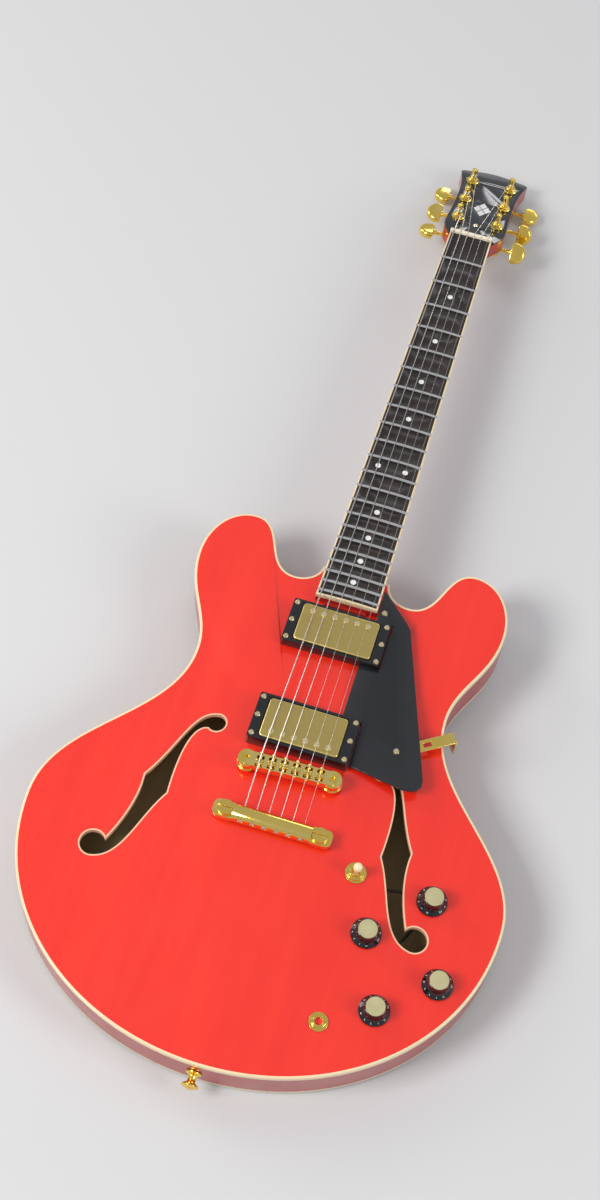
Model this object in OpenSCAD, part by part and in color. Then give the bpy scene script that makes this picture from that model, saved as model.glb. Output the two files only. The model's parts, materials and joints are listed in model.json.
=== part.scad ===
// Semi-hollow electric guitar with a double cutaway, lying on its back.
// +X is the treble side, +Y runs towards the headstock and +Z is up.

/* [Body] */
// Width across the lower bout
body_w = 414; // [360:1:500]
// Width across the waist
waist_w = 228; // [200:1:275]
// Width across the horns
upper_w = 286; // [250:1:345]
// Bridge line to the tail end of the body
tail_reach = 257; // [225:1:310]
// Neck joint to the tips of the horns
horn_rise = 32; // [26:1:40]
// Depth of the sides, plates included
rim_depth = 44.5; // [38:0.5:54]
// Rise of the arched top and back
arch_rise = 10.5; // [6:0.5:13]
// Thickness of the top and back plates
plate_t = 5; // [4:0.5:6]
// Thickness of the bent sides
rim_t = 3; // [2.4:0.2:4]
// Width of the cream edge binding
binding_w = 2.2; // [1.6:0.1:3]
// Half-width of the solid centre block
block_half_w = 56; // [50:1:66]

/* [Neck] */
// Scale length from nut to bridge line
scale_len = 628.65; // [524:0.05:755]
// Backward pitch of the neck
neck_angle = 3.4; // [2.8:0.1:4]
// Height of the fretboard plane over the rim at the bridge line
board_lift = 25; // [22:0.5:30]
// Width of the fretboard at the nut
nut_w = 43; // [40:0.5:52]
// Width of the fretboard at the twelfth fret
board_w12 = 52.5; // [50:0.5:56]
// Thickness of the fretboard
board_t = 6; // [5:0.5:7]
// Radius of the fretboard's playing surface
board_radius = 305; // [240:5:400]
// Depth of the neck shaft below the fretboard
shaft_depth = 16; // [14:0.5:19]

/* [Headstock] */
// Backward tilt of the headstock
head_angle = 17; // [12:0.5:18]
// Length of the headstock from the nut
head_len = 142; // [136:1:170]
// Width across the headstock's top corners
head_w = 72; // [68:1:86]
// Thickness of the headstock under its veneer
head_t = 13.5; // [12:0.5:16]
// Thickness of the black veneer
veneer_t = 1.5; // [1:0.1:2]
// Spacing of the tuners along the headstock
tuner_pitch = 40; // [36:0.5:46]
// Nut to the first pair of tuners
first_tuner = 35; // [32:0.5:38]
// Distance of the tuner posts from the centreline
tuner_x = 20.5; // [19:0.5:22]

/* [Hardware] */
// String spacing at the bridge, first to sixth
bridge_spread = 52; // [48:0.5:54]
// String spacing at the nut, first to sixth
nut_spread = 35.5; // [34:0.5:37]
// Length of the pickup rings
ring_l = 89; // [86:0.5:94]
// Width of the pickup rings
ring_w = 44.5; // [44:0.5:48]
// Length of the pickup covers
cover_l = 70; // [68:0.5:72]
// Width of the pickup covers
cover_w = 38.5; // [36:0.5:40]
// Distance between the bridge posts
bridge_posts_w = 74; // [72:0.5:78]
// Distance between the tailpiece studs
tail_studs_w = 82; // [80:0.5:86]
// Bridge line to the tailpiece studs
tail_stud_y = 51; // [42:1:60]
// Diameter of the knobs
knob_d = 26; // [22:0.5:28]
// Height of the knobs
knob_h = 15; // [12:0.5:18]
// Bore of the output jack
jack_bore = 6.5; // [6.4:0.05:6.8]

/* [Hidden] */
$fn = 48;

// Clearances
gap = 0.3;
seat = 0.1;
run = 0.06;

// Main heights and places along the centreline
rim_z = rim_depth;
board_z = rim_depth + board_lift;
joint_y = fret_y(19) - 2;
heel_half_w = 30;
board_end = fret_y(22) - 5;
neck_pickup_y = board_end - 32;
bridge_pickup_y = 38.5;
action_nut = 1.6;
action_bridge = 4.7;

function fret_y(n) = scale_len * pow(2, -n / 12);
function board_half(y) = (nut_w + (board_w12 - nut_w) * (scale_len - y) / (scale_len / 2)) / 2;

// ---- body outline: knots [x, y, heading, share in, share out] from the tail to the neck corner
knots = [
    [0, -tail_reach, 0, 0, 0.42],
    [body_w / 2, -0.3 * tail_reach, 90, 0.37, 0.36],
    [waist_w / 2, joint_y - 116, 90, 0.36, 0.36],
    [upper_w / 2, joint_y - 18, 90, 0.42, 0.42],
    [upper_w / 2 - 39, joint_y + horn_rise, 180, 0.36, 0.42],
    [heel_half_w + 23, joint_y - 18, 180, 0.42, 0.42],
    [heel_half_w + 1, joint_y, 95, 0.36, 0]
];
knot_steps = [13, 10, 7, 7, 8, 5];

function along(a) = [cos(a), sin(a)];
function place2(k) = [k[0], k[1]];
function bezier(a, b, c, d, t) =
    pow(1 - t, 3) * a + 3 * t * pow(1 - t, 2) * b + 3 * t * t * (1 - t) * c + pow(t, 3) * d;
function span_point(j, k, t) =
    let (l = norm(place2(k) - place2(j)))
    bezier(place2(j), place2(j) + l * j[4] * along(j[2]),
        place2(k) - l * k[3] * along(k[2]), place2(k), t);
half_line = concat(
    [for (i = [0:len(knots) - 2]) for (j = [0:knot_steps[i] - 1])
        span_point(knots[i], knots[i + 1], j / knot_steps[i])],
    [place2(knots[len(knots) - 1])]);
body_line = concat(half_line, [for (i = [len(half_line) - 1:-1:1]) [-half_line[i].x, half_line[i].y]]);

function unit(v) = v / norm(v);
function left_of(v) = [-v.y, v.x];
function inset(pts, d) = let (n = len(pts)) [for (i = [0:n - 1]) let (
        a = left_of(unit(pts[i] - pts[(i + n - 1) % n])),
        b = left_of(unit(pts[(i + 1) % n] - pts[i])))
    pts[i] + d * (a + b) / (1 + a * b)];

// ---- arch of the plates: a bell over the outline's scaled rings
plate_line = inset(body_line, binding_w);
arch_power = 1.6;
plate_rings = 11;
function cross2(a, b) = a.x * b.y - a.y * b.x;
function arch_of(s) = s >= 1 ? 0 : arch_rise * (1 + cos(180 * pow(s, arch_power))) / 2;
// Radius of the contour with share s along a direction: an ellipse inside, the outline at s = 1
dome_half = [0.68 * body_w / 2, 0.8 * tail_reach];
function dome_radius(v) = 1 / norm([v.x / dome_half.x, v.y / dome_half.y]);
function contour(v, r, s) = s * (dome_radius(v) + (r - dome_radius(v)) * s * s);
function edge_radius(p) = let (n = len(plate_line))
    [for (i = [0:n - 1]) let (a = plate_line[i], d = plate_line[(i + 1) % n] - a, k = cross2(a, d),
        u = cross2(p, d) / k, t = cross2(a, p) / (u * k))
        if (u > 0 && t >= -0.000001 && t < 1) norm(p) / u][0];
function share_at(v, r, d, lo, hi, n) = let (mid = (lo + hi) / 2)
    n == 0 ? mid : contour(v, r, mid) < d ? share_at(v, r, d, mid, hi, n - 1) : share_at(v, r, d, lo, mid, n - 1);
function ring_share(p) = norm(p) < 0.001 ? 0 : share_at(unit(p), edge_radius(p), norm(p), 0, 1.2, 22);
function top_z(p) = rim_z + arch_of(ring_share(p));
function slope_of(p) = [top_z(p + [1, 0]) - top_z(p - [1, 0]), top_z(p + [0, 1]) - top_z(p - [0, 1])] / 2;

// Children stand on the arched top at p, square to it
module on_top(p) {
    g = slope_of(p);
    translate([p.x, p.y, top_z(p)])
        rotate(a = atan(norm(g)), v = norm(g) < 0.0001 ? [1, 0, 0] : [g.y, -g.x, 0])
            children();
}

// Neck frame: y along the fretboard, z = 0 on its playing surface
module in_neck() {
    translate([0, 0, board_z]) rotate([-neck_angle, 0, 0]) children();
}
function neck_point(y, z) = [y * cos(neck_angle) + z * sin(neck_angle),
    board_z - y * sin(neck_angle) + z * cos(neck_angle)];

// Headstock frame: y from the nut along the face, z = 0 on the veneer
head_start = scale_len + 4;
module in_head() {
    in_neck() translate([0, head_start, -board_t]) rotate([-head_angle, 0, 0]) children();
}
function head_point(y, z) = let (
        yn = head_start + y * cos(head_angle) + z * sin(head_angle),
        zn = -board_t - y * sin(head_angle) + z * cos(head_angle))
    neck_point(yn, zn);

// ---- rest pose: the back's dome and the upper tuner housings carry the guitar
housing_l = 20;
housing_w = 16;
housing_h = 11;
worm_offset = 6.2;
top_tuner_y = first_tuner + 2 * tuner_pitch;
housing_top = -head_t - veneer_t - seat;
head_low = head_point(top_tuner_y - worm_offset / 2 + housing_l / 2, housing_top - housing_h);
dome_line = [for (j = [0:plate_rings]) let (s = j / plate_rings)
    [-contour([0, -1], tail_reach - binding_w, s), -arch_of(s)]];
function turned_z(p, a) = p[0] * sin(a) + p[1] * cos(a);
function turned_y(p, a) = p[0] * cos(a) - p[1] * sin(a);
function dome_low(a) = min([for (p = dome_line) turned_z(p, a)]);
function settle(a, n) = n == 0 ? a : settle(a + asin((dome_low(a) - turned_z(head_low, a)) / head_low[0]), n - 1);
rest_tilt = settle(2, 8);
strap_button_h = 14;
tail_end = [-tail_reach - strap_button_h, rim_depth / 2];
head_tip = head_point(head_len, 0);
mid_y = (turned_y(tail_end + [0, 7], rest_tilt) + turned_y(head_tip, rest_tilt)) / 2;
module at_rest() {
    translate([0, -mid_y, -dome_low(rest_tilt)]) rotate([rest_tilt, 0, 0]) children();
}

// ---- shared shapes
module slab(pts, z0, z1) {
    translate([0, 0, z0]) linear_extrude(z1 - z0) polygon(pts);
}
module box(lo, hi) {
    translate(lo) cube(hi - lo);
}
module round_bar(l, w, h, r) {
    linear_extrude(h) rounded_rect(l, w, r);
}
module rounded_rect(l, w, r) {
    polygon([for (c = [0:3]) for (k = [0:6])
        [(c == 0 || c == 3 ? 1 : -1) * (l / 2 - r), (c < 2 ? 1 : -1) * (w / 2 - r)] + r * along(90 * c + 15 * k)]);
}

// Tube swept along 3-D points, closed at both ends
function tube_frame(pts, i) = let (n = len(pts),
        t = unit(pts[min(i + 1, n - 1)] - pts[max(i - 1, 0)]),
        side = unit(cross(t, abs(t.z) > 0.9 ? [1, 0, 0] : [0, 0, 1])))
    [side, cross(side, t)];
module tube(pts, r, sides = 8) {
    n = len(pts);
    rings = [for (i = [0:n - 1]) let (f = tube_frame(pts, i)) for (k = [0:sides - 1])
        pts[i] + r * (cos(360 * k / sides) * f[0] + sin(360 * k / sides) * f[1])];
    walls = [for (i = [0:n - 2]) for (k = [0:sides - 1]) let (a = i * sides, m = (k + 1) % sides)
        each [[a + k, a + m, a + sides + m], [a + k, a + sides + m, a + sides + k]]];
    caps = [[for (k = [sides - 1:-1:0]) k], [for (k = [0:sides - 1]) (n - 1) * sides + k]];
    polyhedron(rings, concat(walls, caps), convexity = 8);
}

// ---- sound holes: an f whose outline runs clockwise round two circles and four bent edges
f_top = [73.7, 26.6];
f_top_r = 8;
f_low = [138.8, -106.5];
f_low_r = 10.7;
f_line = concat(
    [for (t = [0:0.1:0.9]) bezier([72.5, 34.5], [96, 34], [96, -2], [116.8, -36], t)],
    [for (t = [0:0.2:0.8]) bezier([116.8, -36], [114, -58], [121, -82], [129.6, -101], t)],
    [for (a = [149:-15.9:-105]) f_low + f_low_r * along(a)],
    [for (t = [0.1:0.1:0.9]) bezier([136, -116.8], [112, -112], [110, -74], [94, -47.3], t)],
    [for (t = [0:0.1:0.9]) bezier([94, -47.3], [96, -18], [95, 20], [79, 20.5], t)],
    [for (a = [-49:-17.7:-252]) f_top + f_top_r * along(a)]);
module f_hole(grow = 0) {
    polygon(inset(f_line, grow));
}
// Closed strip between two loops of equal length that follows the arched top
module arched_strip(outer, inner, h) {
    n = len(outer);
    flat = concat(outer, inner);
    pts = concat([for (p = flat) [p.x, p.y, top_z(p)]], [for (p = flat) [p.x, p.y, top_z(p) - h]]);
    faces = [for (i = [0:n - 1]) let (k = (i + 1) % n, o = 2 * n)
        each [[i, k, n + k], [i, n + k, n + i], [o + i, o + n + k, o + k], [o + i, o + n + i, o + n + k],
            [i, o + k, k], [i, o + i, o + k], [n + i, n + k, o + n + k], [n + i, o + n + k, o + n + i]]];
    polyhedron(pts, faces, convexity = 10);
}
module both_sides() {
    children();
    mirror([1, 0, 0]) children();
}

// ---- places of what sits on the top
control_at = [[144, -71], [99.7, -114], [166.5, -137], [123.5, -173]];
selector_at = [77.5, -68];
jack_at = [83.5, -195];
pot_thread_r = 4.7;
spindle_r = 3;

// ---- pickups, each in a frame of its own parallel to the strings
string_pitch = bridge_spread / 5;
function string_z(y) = board_z - y * tan(neck_angle)
    + action_bridge + (action_nut - action_bridge) * y / scale_len;
string_slope = atan((string_z(0) - string_z(100)) / 100);
pickup_y = [neck_pickup_y, bridge_pickup_y];
cover_gap = 3.6;
cover_h = 16;
cover_wall = 0.8;
ring_wall_gap = 0.6;
ring_rise = [10.5, 12.5];
pole_y = [12.5, -12.5];
pole_pitch = 10.1;
ring_screw_x = 41;
ring_screw_y = 18.3;
module at_pickup(k) {
    translate([0, pickup_y[k], string_z(pickup_y[k])]) rotate([-string_slope, 0, 0]) children();
}
ring_top = [for (k = [0, 1]) top_z([0, pickup_y[k]]) - string_z(pickup_y[k]) + ring_rise[k]];
module pickup_pocket() {
    for (k = [0, 1])
        at_pickup(k) translate([0, 0, -40]) round_bar(cover_l + 6, cover_w + 2, 80, 3);
}

// ---- body
f_binding_w = 1.3;
module plate_solid() {
    n = len(plate_line);
    m = plate_rings;
    top = [for (j = [1:m]) for (p = plate_line) let (v = unit(p), r = contour(v, norm(p), j / m))
        [v.x * r, v.y * r, arch_of(j / m)]];
    low = [for (p = top) [p.x, p.y, p.z - plate_t]];
    pts = concat(top, low, [[0, 0, arch_rise], [0, 0, arch_rise - plate_t]]);
    half = n * m;
    skin = [for (j = [0:m - 2]) for (i = [0:n - 1]) let (a = j * n, k = (i + 1) % n)
        each [[a + i, a + n + i, a + n + k], [a + i, a + n + k, a + k]]];
    fan = [for (i = [0:n - 1]) [2 * half, i, (i + 1) % n]];
    edge = [for (i = [0:n - 1]) let (a = half - n, k = (i + 1) % n) [a + i, a + i + half, a + k + half, a + k]];
    under = [for (f = concat(skin, fan)) [for (q = [len(f) - 1:-1:0]) f[q] == 2 * half ? f[q] + 1 : f[q] + half]];
    polyhedron(pts, [for (f = concat(skin, fan, edge, under)) [for (q = [len(f) - 1:-1:0]) f[q]]],
        convexity = 10);
}
module top_plate() {
    color("orangered") difference() {
        translate([0, 0, rim_z]) plate_solid();
        both_sides() slab_of(rim_z - 20, rim_z + 30) f_hole(f_binding_w + seat);
        pickup_pocket();
        tenon(gap);
        for (p = control_at) on_top(p) cylinder(h = 30, r = pot_thread_r + seat, center = true);
        on_top(selector_at) cylinder(h = 30, r = selector_thread_r + seat, center = true);
        on_top(jack_at) cylinder(h = 30, r = jack_thread_r + seat, center = true);
        sunk_bushings(seat);
    }
}
module back_plate() {
    color("firebrick") mirror([0, 0, 1]) plate_solid();
}
module slab_of(z0, z1) {
    translate([0, 0, z0]) linear_extrude(z1 - z0) children();
}
module ring_between(outer, inner, z0, z1) {
    slab_of(z0, z1) difference() {
        polygon(outer);
        polygon(inner);
    }
}
module rim() {
    color("darkred") difference() {
        ring_between(body_line, inset(body_line, rim_t), plate_t + seat, rim_z - plate_t - seat);
        tenon(gap);
        translate([0, -tail_reach, rim_depth / 2]) rotate([90, 0, 0]) cylinder(h = 20, r = 1.6, center = true);
    }
}
lining_w = 6;
lining_h = 8;
module linings() {
    inner = inset(body_line, rim_t + seat);
    core = inset(body_line, rim_t + lining_w);
    color("burlywood") difference() {
        union() {
            ring_between(inner, core, plate_t + seat, plate_t + lining_h);
            ring_between(inner, core, rim_z - plate_t - lining_h, rim_z - plate_t - seat);
        }
        box([-block_half_w - gap, -2 * tail_reach, -1], [block_half_w + gap, 2 * tail_reach, rim_depth]);
    }
}
module center_block() {
    side = [for (i = [0:16]) let (y = -tail_reach + rim_t + i * (tail_reach + joint_y - 2 * rim_t) / 16) y];
    lift = [for (y = side) min([for (x = [0:block_half_w / 8:block_half_w]) arch_of(ring_share([x, y]))])];
    low = [for (i = [0:16]) [side[i], plate_t - lift[i] + gap]];
    high = [for (i = [16:-1:0]) [side[i], rim_z - plate_t + lift[i] - gap]];
    color("wheat") difference() {
        intersection() {
            translate([-block_half_w, 0, 0]) rotate([90, 0, 90]) linear_extrude(2 * block_half_w)
                polygon(concat(low, high));
            slab(inset(body_line, rim_t + gap), -20, rim_depth + 20);
        }
        pickup_pocket();
        tenon(gap);
        sunk_bushings(seat);
        translate([0, -tail_reach, rim_depth / 2]) rotate([90, 0, 0]) cylinder(h = 60, r = 1.6, center = true);
        translate([0, button_y, 0]) cylinder(h = 60, r = 1.6, center = true);
        lead_channels();
    }
}
module binding() {
    inner = inset(body_line, binding_w);
    color("moccasin") {
        ring_between(body_line, inner, 0, plate_t);
        difference() {
            ring_between(body_line, inner, rim_z - plate_t, rim_z);
            tenon(gap);
        }
        both_sides() arched_strip(inset(f_line, f_binding_w), f_line, plate_t);
    }
}

// ---- neck
tenon_half_w = 19;
tenon_front = board_end - 4;
heel_bottom = 3;
module tenon(g) {
    box([-tenon_half_w - g, tenon_front - g, heel_bottom + 8 - g],
        [tenon_half_w + g, joint_y + 1 + g, rim_z + 5]);
}
heel_reach = 46;
neck_end_y = scale_len + 4;
heel_y = joint_y / cos(neck_angle) - 3;
heel_depth = board_z - board_t - joint_y * tan(neck_angle) - heel_bottom;
function neck_depth(y) = let (t = (y - heel_y) / heel_reach)
    t >= 1 ? shaft_depth : shaft_depth + (heel_depth - shaft_depth) * pow(1 - t, 2.2) * (1 + 0.6 * t);
function neck_half(y) = let (t = (y - heel_y) / heel_reach) board_half(min(y, scale_len));
neck_ys = concat([for (i = [0:9]) heel_y + heel_reach * i / 9],
    [for (i = [1:6]) heel_y + heel_reach + (neck_end_y - heel_y - heel_reach) * i / 6]);
neck_sides = 14;
function neck_section(y) = let (a = neck_half(y) - 0.05, d = neck_depth(y), k = d > shaft_depth ? 0.75 : 1)
    [for (i = [0:neck_sides]) let (q = 180 * i / neck_sides)
        [a * sign(cos(q)) * pow(abs(cos(q)), k), y, -board_t - seat - d * pow(sin(q), 0.8)]];
module neck_shaft() {
    n = neck_sides + 1;
    m = len(neck_ys);
    pts = [for (y = neck_ys) each neck_section(y)];
    walls = [for (j = [0:m - 2]) for (i = [0:n - 1]) let (a = j * n, k = (i + 1) % n)
        each [[a + i, a + k, a + n + k], [a + i, a + n + k, a + n + i]]];
    caps = [[for (i = [n - 1:-1:0]) i], [for (i = [0:n - 1]) (m - 1) * n + i]];
    polyhedron(pts, [for (f = concat(walls, caps)) [for (q = [len(f) - 1:-1:0]) f[q]]], convexity = 6);
}
head_shoulder_y = 22;
head_shoulder_w = 63;
head_waist_w = 60;
head_corner_y = head_len - 9;
head_knots = [
    [nut_w / 2, -4, 75, 0, 0.3],
    [head_shoulder_w / 2, head_shoulder_y, 88, 0.45, 0.3],
    [head_waist_w / 2, head_shoulder_y + 40, 90, 0.3, 0.3],
    [head_w / 2, head_corner_y, 75, 0.4, 0.1],
    [head_w / 2 - 3, head_corner_y + 3, 170, 0.1, 0.3],
    [0, head_len, 180, 0.4, 0]];
head_half = concat([for (i = [0:4]) for (t = [0:0.125:0.99]) span_point(head_knots[i], head_knots[i + 1], t)],
    [place2(head_knots[5])]);
head_line = concat(head_half, [for (i = [len(head_half) - 2:-1:0]) [-head_half[i].x, head_half[i].y]]);
function tuner_y(i) = first_tuner + tuner_pitch * (i % 3);
function tuner_side(i) = i < 3 ? -1 : 1;
// Tuners 1 to 3 run up the bass side, 4 to 6 come down the treble side
function tuner_row(i) = i < 3 ? i : 5 - i;
module at_tuner(i) {
    in_head() translate([tuner_side(i) * tuner_x, first_tuner + tuner_pitch * tuner_row(i), 0]) children();
}
post_r = 3;
bushing_r = 4.6;
rod_r = 3;
rod_channel_w = 7;
rod_channel_d = 9;
rod_pocket_l = 24;
rod_pocket_w = 13;
module rod_channel(g) {
    in_neck() box([-rod_channel_w / 2 + g, board_end + 12 + g, -board_t - rod_channel_d + g],
        [rod_channel_w / 2 - g, neck_end_y + 6, -board_t + 1]);
}
module neck() {
    color("firebrick") difference() {
        union() {
            difference() {
                in_neck() neck_shaft();
                box([-body_w, -tail_reach, -2 * rim_depth], [body_w, joint_y + seat, rim_z + gap]);
            }
            tenon(0);
            in_neck() neck_extension();
            in_head() slab(head_line, -head_t - veneer_t, -veneer_t - seat);
        }
        rod_channel(0);
        in_head() box([-rod_pocket_w / 2, -10, -veneer_t - 9], [rod_pocket_w / 2, rod_pocket_l, 1]);
        for (i = [0:5]) at_tuner(i) cylinder(h = 60, r = bushing_r + seat, center = true);
        translate([0, button_y, 0]) cylinder(h = 60, r = 1.6, center = true);
    }
}
module neck_extension() {
    y0 = board_end;
    y1 = heel_y + 2;
    drop = board_t + seat;
    under_board = [[board_half(y0) - 0.1, y0], [board_half(y1) - 0.1, y1], [-board_half(y1) + 0.1, y1], [-board_half(y0) + 0.1, y0]];
    under = -(board_z - rim_z) / cos(neck_angle) + y0 * tan(neck_angle) + extension_gap;
    slab(under_board, under, -drop);
}
extension_gap = arch_of(ring_share([0, board_end])) + 1;
module headstock_veneer() {
    color([0.06, 0.06, 0.07]) in_head() difference() {
        slab(head_line, -veneer_t, 0);
        box([-rod_pocket_w / 2, -10, -veneer_t - 9], [rod_pocket_w / 2, rod_pocket_l - 1, 1]);
        for (i = [0:5]) translate([tuner_side(i) * tuner_x, first_tuner + tuner_pitch * tuner_row(i), 0])
            cylinder(h = 10, r = bushing_r + seat, center = true);
        lozenges(seat);
        box([-50, -10, -10], [50, 1.2, 10]);
    }
}
lozenge_w = 8.4;
lozenge_h = 13;
lozenge_y = 62;
module lozenges(g) {
    for (p = [[0, 1], [0, -1], [1, 0], [-1, 0]])
        translate([p.x * (lozenge_w / 2 + 0.6), lozenge_y + p.y * (lozenge_h / 2 + 0.9), -0.8])
            linear_extrude(1 + g) polygon([[lozenge_w / 2 + g, 0], [0, lozenge_h / 2 + g],
                [-lozenge_w / 2 - g, 0], [0, -lozenge_h / 2 - g]]);
}

// ---- fretboard: a tapered slab under one cylindrical playing surface
board_bind_w = 1.6;
dot_frets = [3, 5, 7, 9, 15, 17, 19, 21];
dot_r = 2.6;
dot_h = 1.2;
fret_w = 2.6;
fret_h = 1.1;
tang_w = 0.6;
tang_h = 2;
module crowned(lift = 0) {
    intersection() {
        children();
        translate([0, 0, lift - board_radius]) rotate([-90, 0, 0])
            cylinder(h = 3 * scale_len, r = board_radius, center = true, $fn = 360);
    }
}
function board_outline(g) = let (y0 = board_end + (g > 0 ? g : 0), y1 = scale_len)
    [[board_half(y0) - g, y0], [board_half(y1) - g, y1], [-board_half(y1) + g, y1], [-board_half(y0) + g, y0]];
module fret_slots(w) {
    for (n = [1:22])
        let (y = fret_y(n), x = board_half(y) - board_bind_w - 0.2)
            box([-x, y - w / 2, -tang_h - 1], [x, y + w / 2, 1]);
}
module dots(g) {
    for (n = dot_frets)
        translate([0, (fret_y(n) + fret_y(n - 1)) / 2, -dot_h - 0.6]) cylinder(h = 3, r = dot_r + g);
    for (x = [-13, 13])
        translate([x, (fret_y(12) + fret_y(11)) / 2, -dot_h - 0.6]) cylinder(h = 3, r = dot_r + g);
}
module fretboard() {
    color([0.22, 0.16, 0.14]) in_neck() crowned() difference() {
        slab(board_outline(board_bind_w + 0.05), -board_t, 1);
        fret_slots(tang_w + 0.1);
        dots(0.05);
    }
}
module fretboard_binding() {
    color("moccasin") in_neck() crowned() difference() {
        slab(board_outline(0), -board_t, 1);
        slab(concat([board_outline(board_bind_w)[0]], [[board_half(scale_len) - board_bind_w, scale_len + 5]],
            [[-board_half(scale_len) + board_bind_w, scale_len + 5]], [board_outline(board_bind_w)[3]]),
            -board_t - 1, 2);
    }
}
module pearl_inlays() {
    color("lavender") {
        in_neck() crowned() dots(0);
        in_head() lozenges(0);
    }
}
module frets() {
    color("silver") in_neck() {
        crowned(-0.05) fret_slots(tang_w);
        crowned(fret_h) difference() {
            for (n = [1:22])
                let (y = fret_y(n), x = board_half(y) - 0.3)
                    box([-x, y - fret_w / 2, -1], [x, y + fret_w / 2, 3]);
            translate([0, 0, 0.02 - board_radius]) rotate([-90, 0, 0])
                cylinder(h = 3 * scale_len, r = board_radius, center = true, $fn = 360);
        }
    }
}
nut_t = 5;
function nut_x(i) = nut_spread * (i / 5 - 0.5);
function bridge_x(i) = bridge_spread * (i / 5 - 0.5);
string_gauge = [1.17, 0.91, 0.66, 0.43, 0.33, 0.28];
function crown_drop(x) = x * x / (2 * board_radius);
module nut() {
    color("ivory") in_neck() difference() {
        box([-nut_w / 2, scale_len + 0.1, -board_t], [nut_w / 2, scale_len + nut_t, action_nut + 0.6]);
        for (i = [0:5])
            translate([nut_x(i), scale_len, action_nut - crown_drop(nut_x(i)) + string_gauge[i] / 2 + 0.02])
                rotate([-90, 0, 0]) cylinder(h = 30, r = string_gauge[i] / 2 + 0.1, center = true, $fn = 24);
        for (i = [0:5])
            translate([nut_x(i) - string_gauge[i] / 2 - 0.1, scale_len - 5,
                action_nut - crown_drop(nut_x(i)) + string_gauge[i] / 2])
                cube([string_gauge[i] + 0.2, 20, 5]);
        translate([0, scale_len + nut_t - 1.6, action_nut - 0.4]) rotate([-head_angle - 6, 0, 0])
            box([-nut_w, 0, 0], [nut_w, 10, 10]);
    }
}
module truss_rod() {
    color("slategray") {
        in_neck() translate([0, board_end + 14, -board_t - rod_channel_d / 2]) rotate([-90, 0, 0])
            cylinder(h = scale_len - board_end - 12, r = rod_r);
        in_head() translate([0, 3.4, -veneer_t - 4]) rotate([-90, 0, 0]) cylinder(h = 14, r = 4, $fn = 6);
    }
}
cover_bell = concat(
    [[-9.5, 1.6], [9.5, 1.6]],
    [for (t = [0:0.125:1]) bezier([9.5, 3], [9.5, 14], [4.5, 16], [4, 24], t)],
    [for (a = [15:15:165]) [0, 24] + 4 * along(a)],
    [for (t = [1:-0.125:0]) bezier([-9.5, 3], [-9.5, 14], [-4.5, 16], [-4, 24], t)]);
cover_t = 1.6;
module truss_rod_cover() {
    color([0.1, 0.1, 0.11]) in_head() difference() {
        slab(cover_bell, seat, seat + cover_t);
        translate([0, 24, 0]) cylinder(h = 10, r = 1.3, center = true);
    }
}
// ---- tuning machines: a worm on each key drives the gear on its post
gear_teeth = 14;
gear_r = 4.2;
gear_root = 3.4;
gear_crest = 4.55;
gear_face = 1.8;
worm_lead = 2 * PI * gear_r / gear_teeth;
worm_turns = 4;
worm_root = 1.4;
worm_crest = 2.4;
key_r = 2;
pivot_r = 1.4;
cavity_half = worm_lead * worm_turns / 2 + 1;
lug_y = -worm_offset / 2 - housing_l / 2 - 2.6;
worm_z = housing_top - housing_h / 2;
waist_r = 2.4;
waist_lo = 6.5;
waist_hi = 12;
button_r = 11;
button_at = 25;
button_flat = 4;
key_turn = [0, 25, 10, 14, 70, 55];
module at_worm(i) {
    at_tuner(i) translate([0, -worm_offset, worm_z]) children();
}
module tuner_housing() {
    difference() {
        union() {
            translate([0, -worm_offset / 2, housing_top - housing_h]) round_bar(housing_w, housing_l, housing_h, 3);
            translate([0, lug_y, housing_top - 2]) cylinder(h = 2, r = 3.4);
            translate([-3.4, lug_y, housing_top - 2]) cube([6.8, 6, 2]);
        }
        translate([0, 0, worm_z - gear_face / 2 - 0.4]) cylinder(h = gear_face + 0.8, r = gear_r + 1);
        translate([-cavity_half, -worm_offset, worm_z]) rotate([0, 90, 0])
            cylinder(h = 2 * cavity_half, r = worm_crest + 0.5);
        translate([0, 0, worm_z]) cylinder(h = 20, r = post_r + run);
        translate([0, 0, worm_z - 4]) cylinder(h = 5, r = pivot_r + run);
        translate([0, -worm_offset, worm_z]) rotate([0, 90, 0]) cylinder(h = 20, r = key_r + run);
        translate([-6.5, -worm_offset, worm_z]) rotate([0, 90, 0]) cylinder(h = 8, r = pivot_r + run);
        translate([0, lug_y, housing_top]) cylinder(h = 20, r = 1.2, center = true);
    }
}
module tuner_housings() {
    color("goldenrod") for (i = [0:5])
        at_tuner(i) mirror([tuner_side(i) < 0 ? 1 : 0, 0, 0]) tuner_housing();
}
module tuner_bushings() {
    color("gold") for (i = [0:5]) at_tuner(i) difference() {
        union() {
            translate([0, 0, -head_t]) cylinder(h = head_t, r = bushing_r);
            translate([0, 0, seat]) cylinder(h = 1.2, r = 6.8);
            translate([0, 0, seat + 1.2]) cylinder(h = 2.6, r = 5.8, $fn = 6);
            translate([0, 0, seat + 3.8]) cylinder(h = 1, r1 = 4.9, r2 = 4.1);
        }
        cylinder(h = 80, r = post_r + run, center = true);
    }
}
module worm_gear() {
    tooth = 360 / gear_teeth;
    translate([0, 0, -gear_face / 2]) linear_extrude(gear_face)
        polygon([for (k = [0:gear_teeth - 1]) let (a = -90 + k * tooth)
            each [gear_root * along(a - 5.5), gear_crest * along(a - 1.6),
                gear_crest * along(a + 1.6), gear_root * along(a + 5.5)]]);
}
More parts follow.
